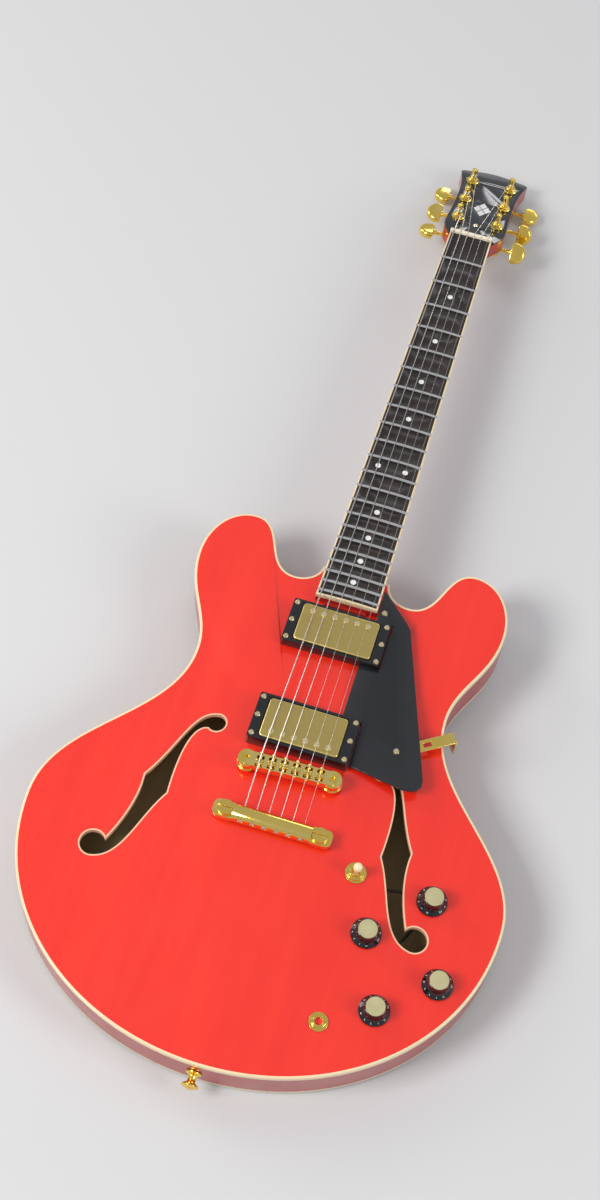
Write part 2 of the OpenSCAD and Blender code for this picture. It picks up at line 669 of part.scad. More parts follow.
module tuner_post(i) {
    color("gold") at_tuner(i) difference() {
        union() {
            translate([0, 0, worm_z]) worm_gear();
            rotate_extrude() polygon([[0, worm_z - 3.6], [pivot_r, worm_z - 3.6], [pivot_r, worm_z],
                [post_r, worm_z], [post_r, waist_lo - 0.6], [waist_r, waist_lo], [waist_r, waist_hi],
                [post_r, waist_hi + 0.6], [post_r, waist_hi + 2.6], [post_r - 0.8, waist_hi + 3.2], [0, waist_hi + 3.2]]);
        }
        translate([0, 0, waist_hi - 1.2]) rotate([0, 90, 0]) cylinder(h = 20, r = 0.8, center = true);
    }
}
// Thread section as [angle from the crest, share of the thread's depth]
thread = [[-56, 0], [-28, 1], [-10, 1], [10, 1], [28, 1], [56, 0], [105, 0], [143, 0], [180, 0], [217, 0], [255, 0]];
thread_steps = 9;
module worm() {
    n = len(thread);
    m = thread_steps * worm_turns;
    pts = [for (j = [0:m]) let (x = worm_lead * worm_turns * (j / m - 0.5)) for (b = thread)
        let (a = b[0] - 90 + 360 * j / thread_steps, r = worm_root + b[1] * (worm_crest - worm_root))
            [x, r * cos(a), r * sin(a)]];
    walls = [for (j = [0:m - 1]) for (i = [0:n - 1]) let (a = j * n, k = (i + 1) % n)
        each [[a + i, a + n + k, a + k], [a + i, a + n + i, a + n + k]]];
    polyhedron(pts, concat(walls, [[for (i = [0:n - 1]) i], [for (i = [n - 1:-1:0]) m * n + i]]), convexity = 10);
}
module key_body() {
    half = worm_lead * worm_turns / 2;
    for (x = [-half - 0.5, half - 0.2])
        translate([x, 0, 0]) rotate([0, 90, 0]) cylinder(h = 0.7, r = worm_crest + 0.15);
    translate([half + 0.2, 0, 0]) rotate([0, 90, 0]) cylinder(h = button_at - button_flat - half + 1, r = key_r);
    translate([-6.4, 0, 0]) rotate([0, 90, 0]) cylinder(h = 6.2 - half, r = pivot_r);
    translate([button_at - button_flat - 2.4, 0, 0]) rotate([0, 90, 0]) cylinder(h = 3, r = 3.2);
}
module key_button() {
    intersection() {
        translate([button_at, 0, 0]) rotate_extrude()
            polygon(concat([[0, -4]], [for (a = [-90:15:90]) [button_r - 3 + 3 * cos(a), 4 * sin(a)]], [[0, 4]]));
        translate([button_at - button_flat, -20, -20]) cube(40);
    }
}
module tuner_key(i) {
    color("gold") at_worm(i) {
        worm();
        mirror([tuner_side(i) < 0 ? 1 : 0, 0, 0]) {
            key_body();
            rotate([key_turn[i], 0, 0]) key_button();
        }
    }
}

// ---- pickups
module pole_places() {
    for (i = [0:5]) translate([pole_pitch * (i - 2.5), 0, 0]) children();
}
module pickup_covers() {
    color("darkgoldenrod") for (k = [0, 1]) at_pickup(k) difference() {
        translate([0, 0, -cover_gap - cover_h]) round_bar(cover_l, cover_w, cover_h, 3.2);
        translate([0, 0, -cover_gap - cover_h - 1])
            round_bar(cover_l - 2 * cover_wall, cover_w - 2 * cover_wall, cover_h - cover_wall + 1, 2.4);
        translate([0, pole_y[k], 0]) pole_places() cylinder(h = 60, r = 2.6, center = true);
    }
}
module pickup_rings() {
    color([0.1, 0.1, 0.1]) for (k = [0, 1]) difference() {
        at_pickup(k) translate([0, 0, ring_top[k] - 30]) difference() {
            round_bar(ring_l, ring_w, 30, 2);
            translate([0, 0, -1]) round_bar(cover_l + 2 * ring_wall_gap, cover_w + 2 * ring_wall_gap, 40, 3.4);
            for (x = [-1, 1]) for (y = [-1, 0, 1])
                translate([x * ring_screw_x, y * ring_screw_y, 0]) cylinder(h = 80, r = 1.5);
        }
        ring_bed(k);
    }
}
// The space under a ring: everything below the plane that clears the arch
module ring_bed(k) {
    y0 = pickup_y[k] - ring_w / 2;
    y1 = pickup_y[k] + ring_w / 2;
    a = atan((top_z([0, y0]) - top_z([0, y1])) / ring_w);
    bow = max([for (t = [0:0.25:1]) top_z([0, y0 + t * ring_w]) - (top_z([0, y0]) * (1 - t) + top_z([0, y1]) * t)]);
    translate([0, y0, top_z([0, y0]) + bow + 0.15]) rotate([-a, 0, 0]) translate([-100, -50, -100]) cube([200, 200, 100]);
}
coil_l = cover_l - 2 * cover_wall - 1;
coil_w = (cover_w - 2 * cover_wall - 1.4) / 2;
coil_h = 10;
module pickup_coils() {
    color([0.25, 0.16, 0.1]) for (k = [0, 1]) at_pickup(k)
        for (s = [-1, 1]) translate([0, s * (coil_w + 0.4) / 2, -cover_gap - cover_wall - seat - coil_h]) difference() {
            round_bar(coil_l, coil_w, coil_h, 3);
            if (s * pole_y[k] > 0)
                translate([0, pole_y[k] - s * (coil_w + 0.4) / 2, 0]) pole_places()
                    cylinder(h = 60, r = 2 + seat, center = true);
        }
}
module pickup_baseplates() {
    color("silver") for (k = [0, 1]) at_pickup(k)
        translate([0, 0, -cover_gap - cover_wall - 2 * seat - coil_h - 1.2]) difference() {
            round_bar(coil_l, cover_w - 2 * cover_wall - 0.6, 1.2, 2);
            translate([0, pole_y[k], 0]) pole_places() cylinder(h = 60, r = 2 + seat, center = true);
        }
}
module pole_screws() {
    color("gold") for (k = [0, 1]) at_pickup(k) translate([0, pole_y[k], 0]) pole_places() {
        difference() {
            union() {
                translate([0, 0, -cover_gap - 18]) cylinder(h = 17.8, r = 2 - 0.5);
                translate([0, 0, -cover_gap - cover_wall]) cylinder(h = cover_wall + 0.6, r = 2.4);
            }
            translate([0, 0, -cover_gap + 1]) cube([6, 0.7, 1.4], center = true);
        }
    }
}

// ---- bridge, in its own frame: z = 0 where the strings rest, at the bridge line
bridge_back = 2.5;
bridge_skew = 2.2;
bridge_w = 13;
bridge_h = 9.5;
bridge_deck = -3.4;
compensation = [4.5, 3.5, 2.8, 2.3, 2.1, 1.3];
saddle_w = 6.4;
saddle_l = 4.6;
saddle_screw_z = -4.9;
saddle_screw_r = 1.2;
notch_gap = 0.55;
function saddle_y(i) = -compensation[i] + bridge_back - bridge_x(i) * tan(bridge_skew);
module at_bridge() {
    translate([0, -bridge_back, string_z(0)]) rotate([0, 0, bridge_skew]) children();
}
module bridge_body() {
    reach = saddle_l / 2 + 2.5 + gap;
    color("gold") at_bridge() difference() {
        translate([0, 0, bridge_deck - bridge_h]) {
            round_bar(bridge_posts_w + 4, bridge_w, bridge_h, 2);
            for (x = [-1, 1]) translate([x * bridge_posts_w / 2, 0, 0]) cylinder(h = bridge_h - 1.5, r = 8);
        }
        for (i = [0:5]) translate([bridge_x(i), saddle_y(i), 0])
            box([-saddle_w / 2 - 0.08, -reach, -9], [saddle_w / 2 + 0.08, reach, 5]);
        for (i = [0:5]) translate([bridge_x(i), 0, saddle_screw_z - crown_drop(bridge_x(i))]) rotate([90, 0, 0])
            cylinder(h = 40, r = saddle_screw_r + seat, center = true);
        for (x = [-1, 1]) translate([x * bridge_posts_w / 2, 0, -30]) cylinder(h = 40, r = 2 + seat);
    }
}
module saddle(i) {
    r = string_gauge[i] / 2;
    color("khaki") at_bridge() translate([bridge_x(i), saddle_y(i), -crown_drop(bridge_x(i))]) difference() {
        translate([-saddle_w / 2, 0, 0]) rotate([90, 0, 90]) linear_extrude(saddle_w)
            polygon([[-saddle_l / 2, -7], [saddle_l / 2, -7], [saddle_l / 2, -2], [0.5, 0.4], [-0.5, 0.4], [-saddle_l / 2, -2]]);
        translate([0, -saddle_y(i), saddle_screw_z]) rotate([90, 0, 0])
            cylinder(h = 40, r = saddle_screw_r + run, center = true);
        box([-r - 0.25, -10, -notch_gap], [r + 0.25, 10, 5]);
    }
}
module intonation_screws() {
    color("gold") at_bridge() for (i = [0:5])
        translate([bridge_x(i), 0, saddle_screw_z - crown_drop(bridge_x(i))]) rotate([90, 0, 0]) {
            cylinder(h = bridge_w + 1.4, r = saddle_screw_r, center = true);
            translate([0, 0, -bridge_w / 2 - 1.8]) cylinder(h = 1.6, r = 1.9);
        }
}
wheel_z = bridge_deck - bridge_h - seat;
bush_depth = 20;
stud_bush_r = 5.5;
module bridge_posts() {
    color("gold") at_bridge() for (x = [-1, 1]) translate([x * bridge_posts_w / 2, 0, 0]) {
        translate([0, 0, wheel_z - 2.2]) cylinder(h = 2.2, r = 8.6);
        translate([0, 0, wheel_z - 1]) cylinder(h = bridge_h - 1, r = 2);
        translate([0, 0, wheel_z - 24]) cylinder(h = 22, r = 3);
    }
}
module post_sockets(g) {
    at_bridge() for (x = [-1, 1]) translate([x * bridge_posts_w / 2, 0, wheel_z - 25 - g]) cylinder(h = 60, r = 3 + g);
}
module sunk_bushings(g) {
    post_sockets(g);
    for (x = [-1, 1]) translate([x * tail_studs_w / 2, -tail_stud_y, top_z([0, -tail_stud_y]) - bush_depth - g])
        cylinder(h = 60, r = stud_bush_r + g);
}
bar_lift = 3.2;
bar_h = 11;
bar_w = 15;
bar_end = 10.5;
bar_z = top_z([tail_studs_w / 2, -tail_stud_y]) + bar_lift;
anchor_z = bar_z + 6;
module tailpiece() {
    half = tail_studs_w / 2;
    color("gold") translate([0, -tail_stud_y, bar_z]) difference() {
        union() {
            translate([7 - half, 0, 0]) rotate([90, 0, 90]) linear_extrude(2 * half - 14)
                polygon(concat([[-bar_w / 2 + 1, 0], [bar_w / 2 - 1, 0], [bar_w / 2, 2]],
                    [for (a = [0:15:180]) [bar_w / 2 * cos(a), bar_h - 6 + 6 * sin(a)]], [[-bar_w / 2, 2]]));
            for (x = [-1, 1]) translate([x * half, 0, 0]) round_bar(2 * bar_end, bar_w, 6.4, 5);
        }
        for (x = [-1, 1]) translate([x * half, 0, 0]) {
            cylinder(h = 40, r = 4.3, center = true);
            translate([-4.3, 0, -20]) cube([8.6, 20, 40]);
        }
        for (i = [0:5]) translate([bridge_x(i), 0, anchor_z - bar_z]) rotate([90, 0, 0]) {
            cylinder(h = 60, r = 1.2, center = true);
            translate([0, 0, bar_w / 2 - 3]) cylinder(h = 30, r = 2.3);
        }
    }
}
module tailpiece_studs() {
    foot = top_z([0, -tail_stud_y]) - bush_depth;
    color("gold") for (x = [-1, 1]) translate([x * tail_studs_w / 2, -tail_stud_y, 0]) difference() {
        union() {
            translate([0, 0, foot]) cylinder(h = bush_depth - 1, r = stud_bush_r);
            translate([0, 0, foot + 5]) cylinder(h = bar_z + 7 - foot - 5, r = 4);
            translate([0, 0, bar_z - 1.6]) cylinder(h = 1.5, r = 6.6);
            translate([0, 0, bar_z + 6.5]) cylinder(h = 4, r = 6.8);
        }
        translate([0, 0, bar_z + 10.5]) cube([20, 1.6, 3], center = true);
    }
}

// ---- pickguard and its bracket
guard_t = 2.4;
guard_tilt = 2;
guard_z = rim_z + arch_rise + 3;
guard_line = [
    [29, joint_y - 12], [56, joint_y - 38], [61, joint_y - 44], [109, 26],
    [109.6, 20], [107, 15.5], [102, 13], [93.8, 12.4], [ring_l / 2 + 1, 19.5],
    [ring_l / 2 + 1, bridge_pickup_y + ring_w / 2 + 1], [27.5, bridge_pickup_y + ring_w / 2 + 1],
    [27.5, neck_pickup_y - ring_w / 2 - 1], [ring_l / 2 + 1, neck_pickup_y - ring_w / 2 - 1],
    [ring_l / 2 + 1, neck_pickup_y + ring_w / 2 + 1], [30.5, neck_pickup_y + ring_w / 2 + 1]];
guard_screws = [[35, neck_pickup_y + 33], [80.5, 45]];
module at_guard() {
    translate([0, 0, guard_z]) rotate([-guard_tilt, 0, 0]) children();
}
module pickguard() {
    color([0.08, 0.08, 0.09]) at_guard() difference() {
        slab(guard_line, 0, guard_t);
        for (p = guard_screws) translate([p.x, p.y, 0]) cylinder(h = 20, r = 1.6, center = true);
    }
}
bracket_w = 10.5;
bracket_t = 1.6;
bracket_a = [80.5, 45];
bracket_b = [waist_w / 2 + 11, joint_y - 133];
bracket_turn = atan2(bracket_b.y - bracket_a.y, bracket_b.x - bracket_a.x);
module pickguard_bracket() {
    l = norm(bracket_b - bracket_a);
    drop = guard_z - bracket_b.y * tan(guard_tilt) - rim_z + 18;
    color("gold") {
        at_guard() translate([bracket_a.x, bracket_a.y, -bracket_t - seat]) rotate([0, 0, bracket_turn]) difference() {
            box([-6, -bracket_w / 2, 0], [l, bracket_w / 2, bracket_t]);
            cylinder(h = 10, r = 1.6, center = true);
            box([25, -2, -5], [32, 2, 5]);
        }
        translate([bracket_b.x, bracket_b.y, 0]) rotate([0, 0, bracket_turn]) translate([-bracket_t, -bracket_w / 2, rim_z - 18 + 6])
            cube([bracket_t, bracket_w, drop - 8]);
    }
}
// ---- controls
nut_r = 6.6;
pot_r = 12;
pot_h = 9;
pot_drop = 1.2;
knob_lift = 1.2;
module control_knob(i) {
    color([0.09, 0.09, 0.1]) on_top(control_at[i]) {
        rotate_extrude() polygon([[spindle_r + seat, 4.4], [knob_d / 2 - 1.6, 4.4], [knob_d / 2 - 1, knob_lift], [knob_d / 2, knob_lift], [knob_d / 2, 2.8],
            [knob_d / 2 - 0.8, 4.6], [knob_d / 2 - 3, knob_h - 7], [knob_d / 2 - 4, knob_h - 1.4], [knob_d / 2 - 4.5, knob_h - 1],
            [knob_d / 2 - 4.8, knob_h - 1], [knob_d / 2 - 4.8, knob_h - 1.8], [spindle_r + seat, knob_h - 1.8]]);
        translate([0, 0, knob_h - 1.7]) cylinder(h = 1.7, r = knob_d / 2 - 4.9);
        translate([0, 0, -plate_t - pot_drop - 5]) cylinder(h = plate_t + pot_drop + 5 + knob_h - 1.9, r = spindle_r);
    }
}
module potentiometers() {
    color("silver") for (p = control_at) on_top(p) difference() {
        union() {
            translate([0, 0, -plate_t - pot_drop - pot_h]) cylinder(h = pot_h, r = pot_r);
            translate([0, 0, -plate_t - pot_drop - 0.4]) cylinder(h = plate_t + pot_drop + 3.4, r = pot_thread_r);
            translate([0, 0, 0.7]) cylinder(h = 0.6, r = 7.4);
            translate([0, 0, 1.3]) cylinder(h = 2, r = nut_r, $fn = 6);
        }
        translate([0, 0, -plate_t - pot_drop - 6]) cylinder(h = 30, r = spindle_r + run);
    }
}
module tone_capacitors() {
    color("darkorange") for (i = [1, 3]) on_top(control_at[i]) translate([0, 0, -plate_t - pot_drop - pot_h - 4.3])
        round_bar(12, 7, 4, 2);
}
selector_thread_r = 5.8;
lever_bore_r = 3.3;
module selector_switch() {
    color("gold") on_top(selector_at) difference() {
        union() {
            translate([0, 0, -plate_t - 2.4]) cylinder(h = plate_t + 7.4, r = selector_thread_r);
            translate([0, 0, 0.6]) cylinder(h = 1, r = 9);
            translate([0, 0, 1.5]) cylinder(h = 3, r = 7.6, $fn = 12);
            translate([0, 0, -plate_t - 20.6]) round_bar(14, 16, 19, 2);
        }
        cylinder(h = 80, r = lever_bore_r, center = true);
        translate([0, 0, -plate_t - 19.4]) round_bar(9, 13, 16.6, 1);
    }
}
stick_down = 6;
stick_up = 11;
stick_r = 1.5;
cross_pin_l = 2 * lever_bore_r - 0.22;
module selector_lever() {
    color("ivory") on_top(selector_at) {
        sphere(r = lever_bore_r - 0.12);
        rotate([0, 90, 0]) cylinder(h = cross_pin_l, r = 0.6, center = true);
        translate([0, 0, -stick_down]) cylinder(h = stick_down + stick_up, r = stick_r);
        translate([0, 0, 10]) rotate_extrude()
            polygon([[0, 0], [2.6, 0], [3.4, 2], [4, 6.5], [3.4, 8.6], [1.8, 9.8], [0, 10]]);
    }
}
jack_thread_r = 4.75;
jack_up = 3.4;
jack_down = 12;
module output_jack() {
    color("gold") on_top(jack_at) {
        difference() {
            union() {
                translate([0, 0, -jack_down]) cylinder(h = jack_down + jack_up, r = jack_thread_r);
                translate([0, 0, 0.6]) cylinder(h = 0.9, r = 8);
                translate([0, 0, 1.4]) cylinder(h = 1.6, r = 6.4, $fn = 6);
                translate([0, 0, -jack_down]) cylinder(h = 2.4, r = 8.5);
                for (s = [-1, 1]) translate([s * 7 - 0.4, -3, -jack_down - 17]) cube([0.8, 6, 18]);
            }
            translate([0, 0, -jack_down - 1]) cylinder(h = jack_down + jack_up + 2, r = jack_bore / 2);
        }
    }
}

// ---- strap buttons, one at the tail and one on the back by the heel
button_y = joint_y - 14;
button_screw_r = 1.5;
module strap_button() {
    translate([0, 0, seat]) rotate_extrude() polygon([[0, 0], [6.5, 0], [6.5, 1.4], [3.6, 3.4], [3.3, 6], [3.6, 8.4],
        [6.8, 10.6], [7.4, 11.6], [6.8, 12.4], [3.4, 13.2], [3.2, strap_button_h - seat], [0, strap_button_h - seat]]);
    translate([0, 0, -24]) cylinder(h = 25, r = button_screw_r);
}
module strap_buttons() {
    color("gold") {
        translate([0, -tail_reach, rim_depth / 2]) rotate([90, 0, 0]) strap_button();
        translate([0, button_y, -top_z([0, button_y]) + rim_z]) mirror([0, 0, 1]) strap_button();
    }
}

// ---- strings, from the ball end to the windings on the post
function neck3(p) = let (q = neck_point(p.y, p.z)) [p.x, q[0], q[1]];
function head3(p) = let (q = head_point(p.y, p.z)) [p.x, q[0], q[1]];
function neck_to_head(p) = let (y = p.y - head_start, z = p.z + board_t)
    [p.x, y * cos(head_angle) - z * sin(head_angle), y * sin(head_angle) + z * cos(head_angle)];
function nut_exit(i) = [nut_x(i), scale_len + nut_t - 1.4, action_nut - crown_drop(nut_x(i)) + string_gauge[i] / 2];
function post_at(i) = [tuner_side(i) * tuner_x, tuner_y(tuner_row(i))];
string_turns = 2.25;
function winding(i) = let (r = string_gauge[i] / 2, w = waist_r + 0.2 + r, c = post_at(i), n = neck_to_head(nut_exit(i)),
        v = [n.x, n.y] - c, s = -tuner_side(i), a0 = atan2(v.y, v.x) + s * acos(w / norm(v)))
    [for (a = [0:30:360 * string_turns]) [c.x + w * cos(a0 + s * a), c.y + w * sin(a0 + s * a),
        waist_lo + r + 0.3 + a / 360 * (2 * r + 0.12)]];
function string_route(i) = let (r = string_gauge[i] / 2, x = bridge_x(i), d = crown_drop(x), y = -compensation[i])
    concat(
        [[x, -tail_stud_y - bar_w / 2 + 2, anchor_z], [x, -tail_stud_y + bar_w / 2, anchor_z],
            [x, y - 0.8, string_z(0) - d + r - 0.12], [x, y + 0.4, string_z(0) - d + r],
            neck3([nut_x(i), scale_len, nut_exit(i).z]), neck3(nut_exit(i))],
        [for (p = winding(i)) head3(p)]);
module strings() {
    color("lightgray") for (i = [0:5]) {
        tube(string_route(i), string_gauge[i] / 2);
        translate([bridge_x(i) - 1.4, -tail_stud_y - bar_w / 2 + 1.2, anchor_z]) rotate([0, 90, 0]) cylinder(h = 2.8, r = 1.6);
    }
}

// ---- fasteners and wiring
module wood_screw(head_r, head_h, l, r = 1.3) {
    difference() {
        union() {
            translate([0, 0, seat]) cylinder(h = head_h, r1 = head_r, r2 = head_r * 0.7);
            translate([0, 0, -l]) cylinder(h = l + 0.3, r = r);
        }
        translate([0, 0, seat + head_h]) cube([2 * head_r, 0.6, 1], center = true);
        translate([0, 0, seat + head_h]) cube([0.6, 2 * head_r, 1], center = true);
    }
}
module mounting_screws() {
    color("gold") {
        for (k = [0, 1]) at_pickup(k) for (x = [-1, 1]) for (y = [-1, 0, 1])
            translate([x * ring_screw_x, y * ring_screw_y, ring_top[k]]) wood_screw(2.6, 1.2, y == 0 ? 16 : 20);
        at_guard() for (p = guard_screws) translate([p.x, p.y, guard_t]) wood_screw(3, 1.3, 9);
        in_head() translate([0, 24, seat + cover_t]) wood_screw(2.4, 1, 5, 1.2);
        for (i = [0:5]) at_tuner(i) translate([0, lug_y, housing_top - 2])
            mirror([0, 0, 1]) wood_screw(2.2, 0.9, 8, 1.1);
    }
}
lead_y = [neck_pickup_y - 12, bridge_pickup_y + 8];
lead_z = 24;
lead_r = 1.4;
lead_channel_r = 3;
module lead_channels() {
    for (y = lead_y) translate([0, y, lead_z]) rotate([0, 90, 0]) cylinder(h = block_half_w + 5, r = lead_channel_r);
}
leads = [
    [[42, lead_y[0], lead_z], [66, lead_y[0], lead_z], [80, 90, 20], [72, 20, 20], [68, -52, 20]],
    [[42, lead_y[1], lead_z], [62, lead_y[1], lead_z], [66, 20, 26], [64, -50, 26]],
    [[92, -72, 20], [106, -62, 20], [124, -60, 22], [140, -70, 24]],
    [[140, -78, 22], [130, -100, 20], [122, -112, 20], [150, -130, 22], [163, -134, 22]],
    [[124, -165, 20], [116, -150, 20], [104, -134, 20], [99, -122, 20]],
    [[114, -178, 20], [104, -192, 18], [96, -196, 16]]];
module wiring() {
    color("dimgray") for (route = leads) tube(route, lead_r);
}

at_rest() top_plate();
at_rest() back_plate();
at_rest() rim();
at_rest() center_block();
at_rest() linings();
at_rest() binding();
at_rest() neck();
at_rest() headstock_veneer();
at_rest() pearl_inlays();
at_rest() fretboard();
at_rest() fretboard_binding();
at_rest() frets();
at_rest() nut();
at_rest() truss_rod();
at_rest() truss_rod_cover();
at_rest() tuner_housings();
at_rest() tuner_bushings();
at_rest() pickup_covers();
at_rest() pickup_rings();
at_rest() pickup_coils();
at_rest() pickup_baseplates();
at_rest() pole_screws();
at_rest() bridge_body();
at_rest() intonation_screws();
at_rest() bridge_posts();
at_rest() tailpiece();
at_rest() tailpiece_studs();
at_rest() pickguard();
at_rest() pickguard_bracket();
at_rest() selector_switch();
at_rest() potentiometers();
at_rest() tone_capacitors();
at_rest() output_jack();
at_rest() strap_buttons();
at_rest() strings();
at_rest() mounting_screws();
at_rest() wiring();
at_rest() tuner_key(0);  // tuner_key_1
at_rest() tuner_key(1);  // tuner_key_2
at_rest() tuner_key(2);  // tuner_key_3
at_rest() tuner_key(3);  // tuner_key_4
at_rest() tuner_key(4);  // tuner_key_5
at_rest() tuner_key(5);  // tuner_key_6
at_rest() tuner_post(0);  // tuner_post_1
at_rest() tuner_post(1);  // tuner_post_2
at_rest() tuner_post(2);  // tuner_post_3
at_rest() tuner_post(3);  // tuner_post_4
at_rest() tuner_post(4);  // tuner_post_5
at_rest() tuner_post(5);  // tuner_post_6
at_rest() control_knob(0);  // control_knob_1
at_rest() control_knob(1);  // control_knob_2
at_rest() control_knob(2);  // control_knob_3
at_rest() control_knob(3);  // control_knob_4
at_rest() selector_lever();
at_rest() saddle(0);  // saddle_1
at_rest() saddle(1);  // saddle_2
at_rest() saddle(2);  // saddle_3
at_rest() saddle(3);  // saddle_4
at_rest() saddle(4);  // saddle_5
at_rest() saddle(5);  // saddle_6
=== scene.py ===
# %% [markdown]
# # A semi-hollow electric guitar
# The guitar lies on its back. Its measured shapes come from the CAD frame, which stays fixed, and
# this file gives every piece of it a finished surface. The wooden shells are rebuilt as smooth
# arched sheets, the turned and cast hardware gets the rounded edges that plating always has, and
# each finish is a procedural material.

# %% Load the fixed frame
import math

import bmesh
import bpy
from mathutils import Matrix, Vector
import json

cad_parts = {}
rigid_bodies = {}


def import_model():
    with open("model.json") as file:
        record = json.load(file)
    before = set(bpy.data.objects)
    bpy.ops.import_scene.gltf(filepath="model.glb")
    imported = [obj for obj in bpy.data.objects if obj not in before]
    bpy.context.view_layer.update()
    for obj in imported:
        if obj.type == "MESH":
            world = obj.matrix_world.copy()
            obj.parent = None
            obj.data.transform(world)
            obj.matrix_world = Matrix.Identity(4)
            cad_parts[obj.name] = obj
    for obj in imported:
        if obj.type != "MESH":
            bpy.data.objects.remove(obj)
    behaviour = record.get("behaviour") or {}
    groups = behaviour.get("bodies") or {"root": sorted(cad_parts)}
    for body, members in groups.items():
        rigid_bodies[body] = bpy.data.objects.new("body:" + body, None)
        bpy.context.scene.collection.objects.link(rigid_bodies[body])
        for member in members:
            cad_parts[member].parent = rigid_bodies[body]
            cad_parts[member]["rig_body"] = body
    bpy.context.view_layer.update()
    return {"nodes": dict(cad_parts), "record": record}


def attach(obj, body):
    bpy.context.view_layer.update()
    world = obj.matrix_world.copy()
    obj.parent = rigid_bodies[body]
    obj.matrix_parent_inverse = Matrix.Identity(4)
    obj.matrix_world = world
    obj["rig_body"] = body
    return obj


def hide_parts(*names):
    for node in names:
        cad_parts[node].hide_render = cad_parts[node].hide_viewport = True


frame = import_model()
nodes = frame["nodes"]
record = frame["record"]
scene = bpy.context.scene

# %% [markdown]
# The guitar rests on the dome of its back and on two tuner housings, so its own straight axes are
# turned a little against the floor. The tail strap button is recorded with its place and direction,
# which is enough to find that turn again. The neck leans back from there, which sets how high the
# strings run over the pickups.

# %% Find the guitar's own axes
MM = 0.001
SCALE = Matrix.Scale(MM, 4)
rim_z = 44.5
plate_t = 5.0
board_z = 69.5
scale_length = 628.65
neck_lean = math.radians(-3.4)
tail_button = next(m for m in record["mounts"] if m["name"] == "tail_strap_button")
button_axis = tail_button["axis"]
rest_turn = Matrix.Rotation(math.atan2(-button_axis[2], -button_axis[1]), 4, "X")
button_spot = Vector((0, -264 * MM, 22.25 * MM))
BODY = Matrix.Translation(Vector(tail_button["pos_m"]) - rest_turn @ button_spot) @ rest_turn
print("rest turn", round(math.degrees(math.atan2(-button_axis[2], -button_axis[1])), 3), "degrees")

# %% [markdown]
# ## Camera, floor and lights
# The camera looks down from the tail end and a little from the treble side. Big soft lamps stand in
# for a studio's light tents: gloss lacquer and gold only look right when they have wide bright
# shapes to mirror.

# %% Camera
camera_data = bpy.data.cameras.new("camera")
camera_data.sensor_width = 36
camera_data.lens = 57.18
camera = bpy.data.objects.new("camera", camera_data)
camera.location = (0.12905, -0.93724, 1.52368)
camera.rotation_euler = [math.radians(a) for a in (30.72, -3.27, 16.74)]
scene.collection.objects.link(camera)
scene.camera = camera
print("camera height", camera.location.z)

# %% Pale floor
floor_mesh = bpy.data.meshes.new("floor")
floor_bm = bmesh.new()
bmesh.ops.create_grid(floor_bm, x_segments=2, y_segments=2, size=30)
floor_bm.to_mesh(floor_mesh)
floor_bm.free()
floor = bpy.data.objects.new("floor", floor_mesh)
scene.collection.objects.link(floor)
floor_paint = bpy.data.materials.new("floor_paint")
floor_paint.use_nodes = True
floor_paint.node_tree.nodes["Principled BSDF"].inputs["Base Color"].default_value = (0.62, 0.61, 0.6, 1)
floor_paint.node_tree.nodes["Principled BSDF"].inputs["Roughness"].default_value = 0.9
floor.data.materials.append(floor_paint)
print("floor laid")


# %% Soft lamps
def soft_lamp(name, place, aim, width, power, tint=(1, 1, 1)):
    data = bpy.data.lights.new(name, "AREA")
    data.shape = "RECTANGLE"
    data.size, data.size_y = width
    data.energy = power
    data.color = tint
    lamp = bpy.data.objects.new(name, data)
    lamp.location = place
    lamp.rotation_euler = (Vector(aim) - Vector(place)).to_track_quat("-Z", "Y").to_euler()
    scene.collection.objects.link(lamp)
    return lamp


soft_lamp("key", (-1.7, -1.5, 2.3), (0, -0.1, 0), (1.1, 1.1), 62)
soft_lamp("fill_left", (-2.4, 0.7, 1.2), (0, 0, 0), (0.8, 1.8), 20, (1, 0.98, 0.95))
soft_lamp("fill_right", (2.3, -0.6, 1.7), (0, 0, 0), (0.9, 1.4), 26, (0.95, 0.98, 1))
soft_lamp("strip", (0.4, 2.6, 1.0), (0, 0.3, 0), (1.6, 0.3), 8)
sky = bpy.data.worlds.new("studio")
sky.use_nodes = True
sky.node_tree.nodes["Background"].inputs["Color"].default_value = (0.9, 0.93, 1, 1)
sky.node_tree.nodes["Background"].inputs["Strength"].default_value = 0.5
scene.world = sky
scene.view_settings.view_transform = "Standard"
print("four lamps and a pale sky")


# %% [markdown]
# ## Shared surface effects
# Wood figure, brushed lines, smudges and worn edges appear on many finishes. Each is built once as a
# node group with named sockets, and every material places it with its own values. The groups only
# give out colours and masks, and the shader stays in the material.

# %% A helper that opens a node group
def open_group(name, inputs, outputs):
    tree = bpy.data.node_groups.new(name, "ShaderNodeTree")
    for label, kind, value in inputs:
        socket = tree.interface.new_socket(label, in_out="INPUT", socket_type=kind)
        if value is not None:
            socket.default_value = value
    for label, kind in outputs:
        tree.interface.new_socket(label, in_out="OUTPUT", socket_type=kind)
    start = tree.nodes.new("NodeGroupInput")
    end = tree.nodes.new("NodeGroupOutput")
    return tree, start, end


def add_node(tree, kind, **values):
    node = tree.nodes.new(kind)
    for key, value in values.items():
        if hasattr(node, key):
            setattr(node, key, value)
        else:
            node.inputs[key.replace("_", " ")].default_value = value
    return node


FLOAT, VECTOR, COLOR = "NodeSocketFloat", "NodeSocketVector", "NodeSocketColor"

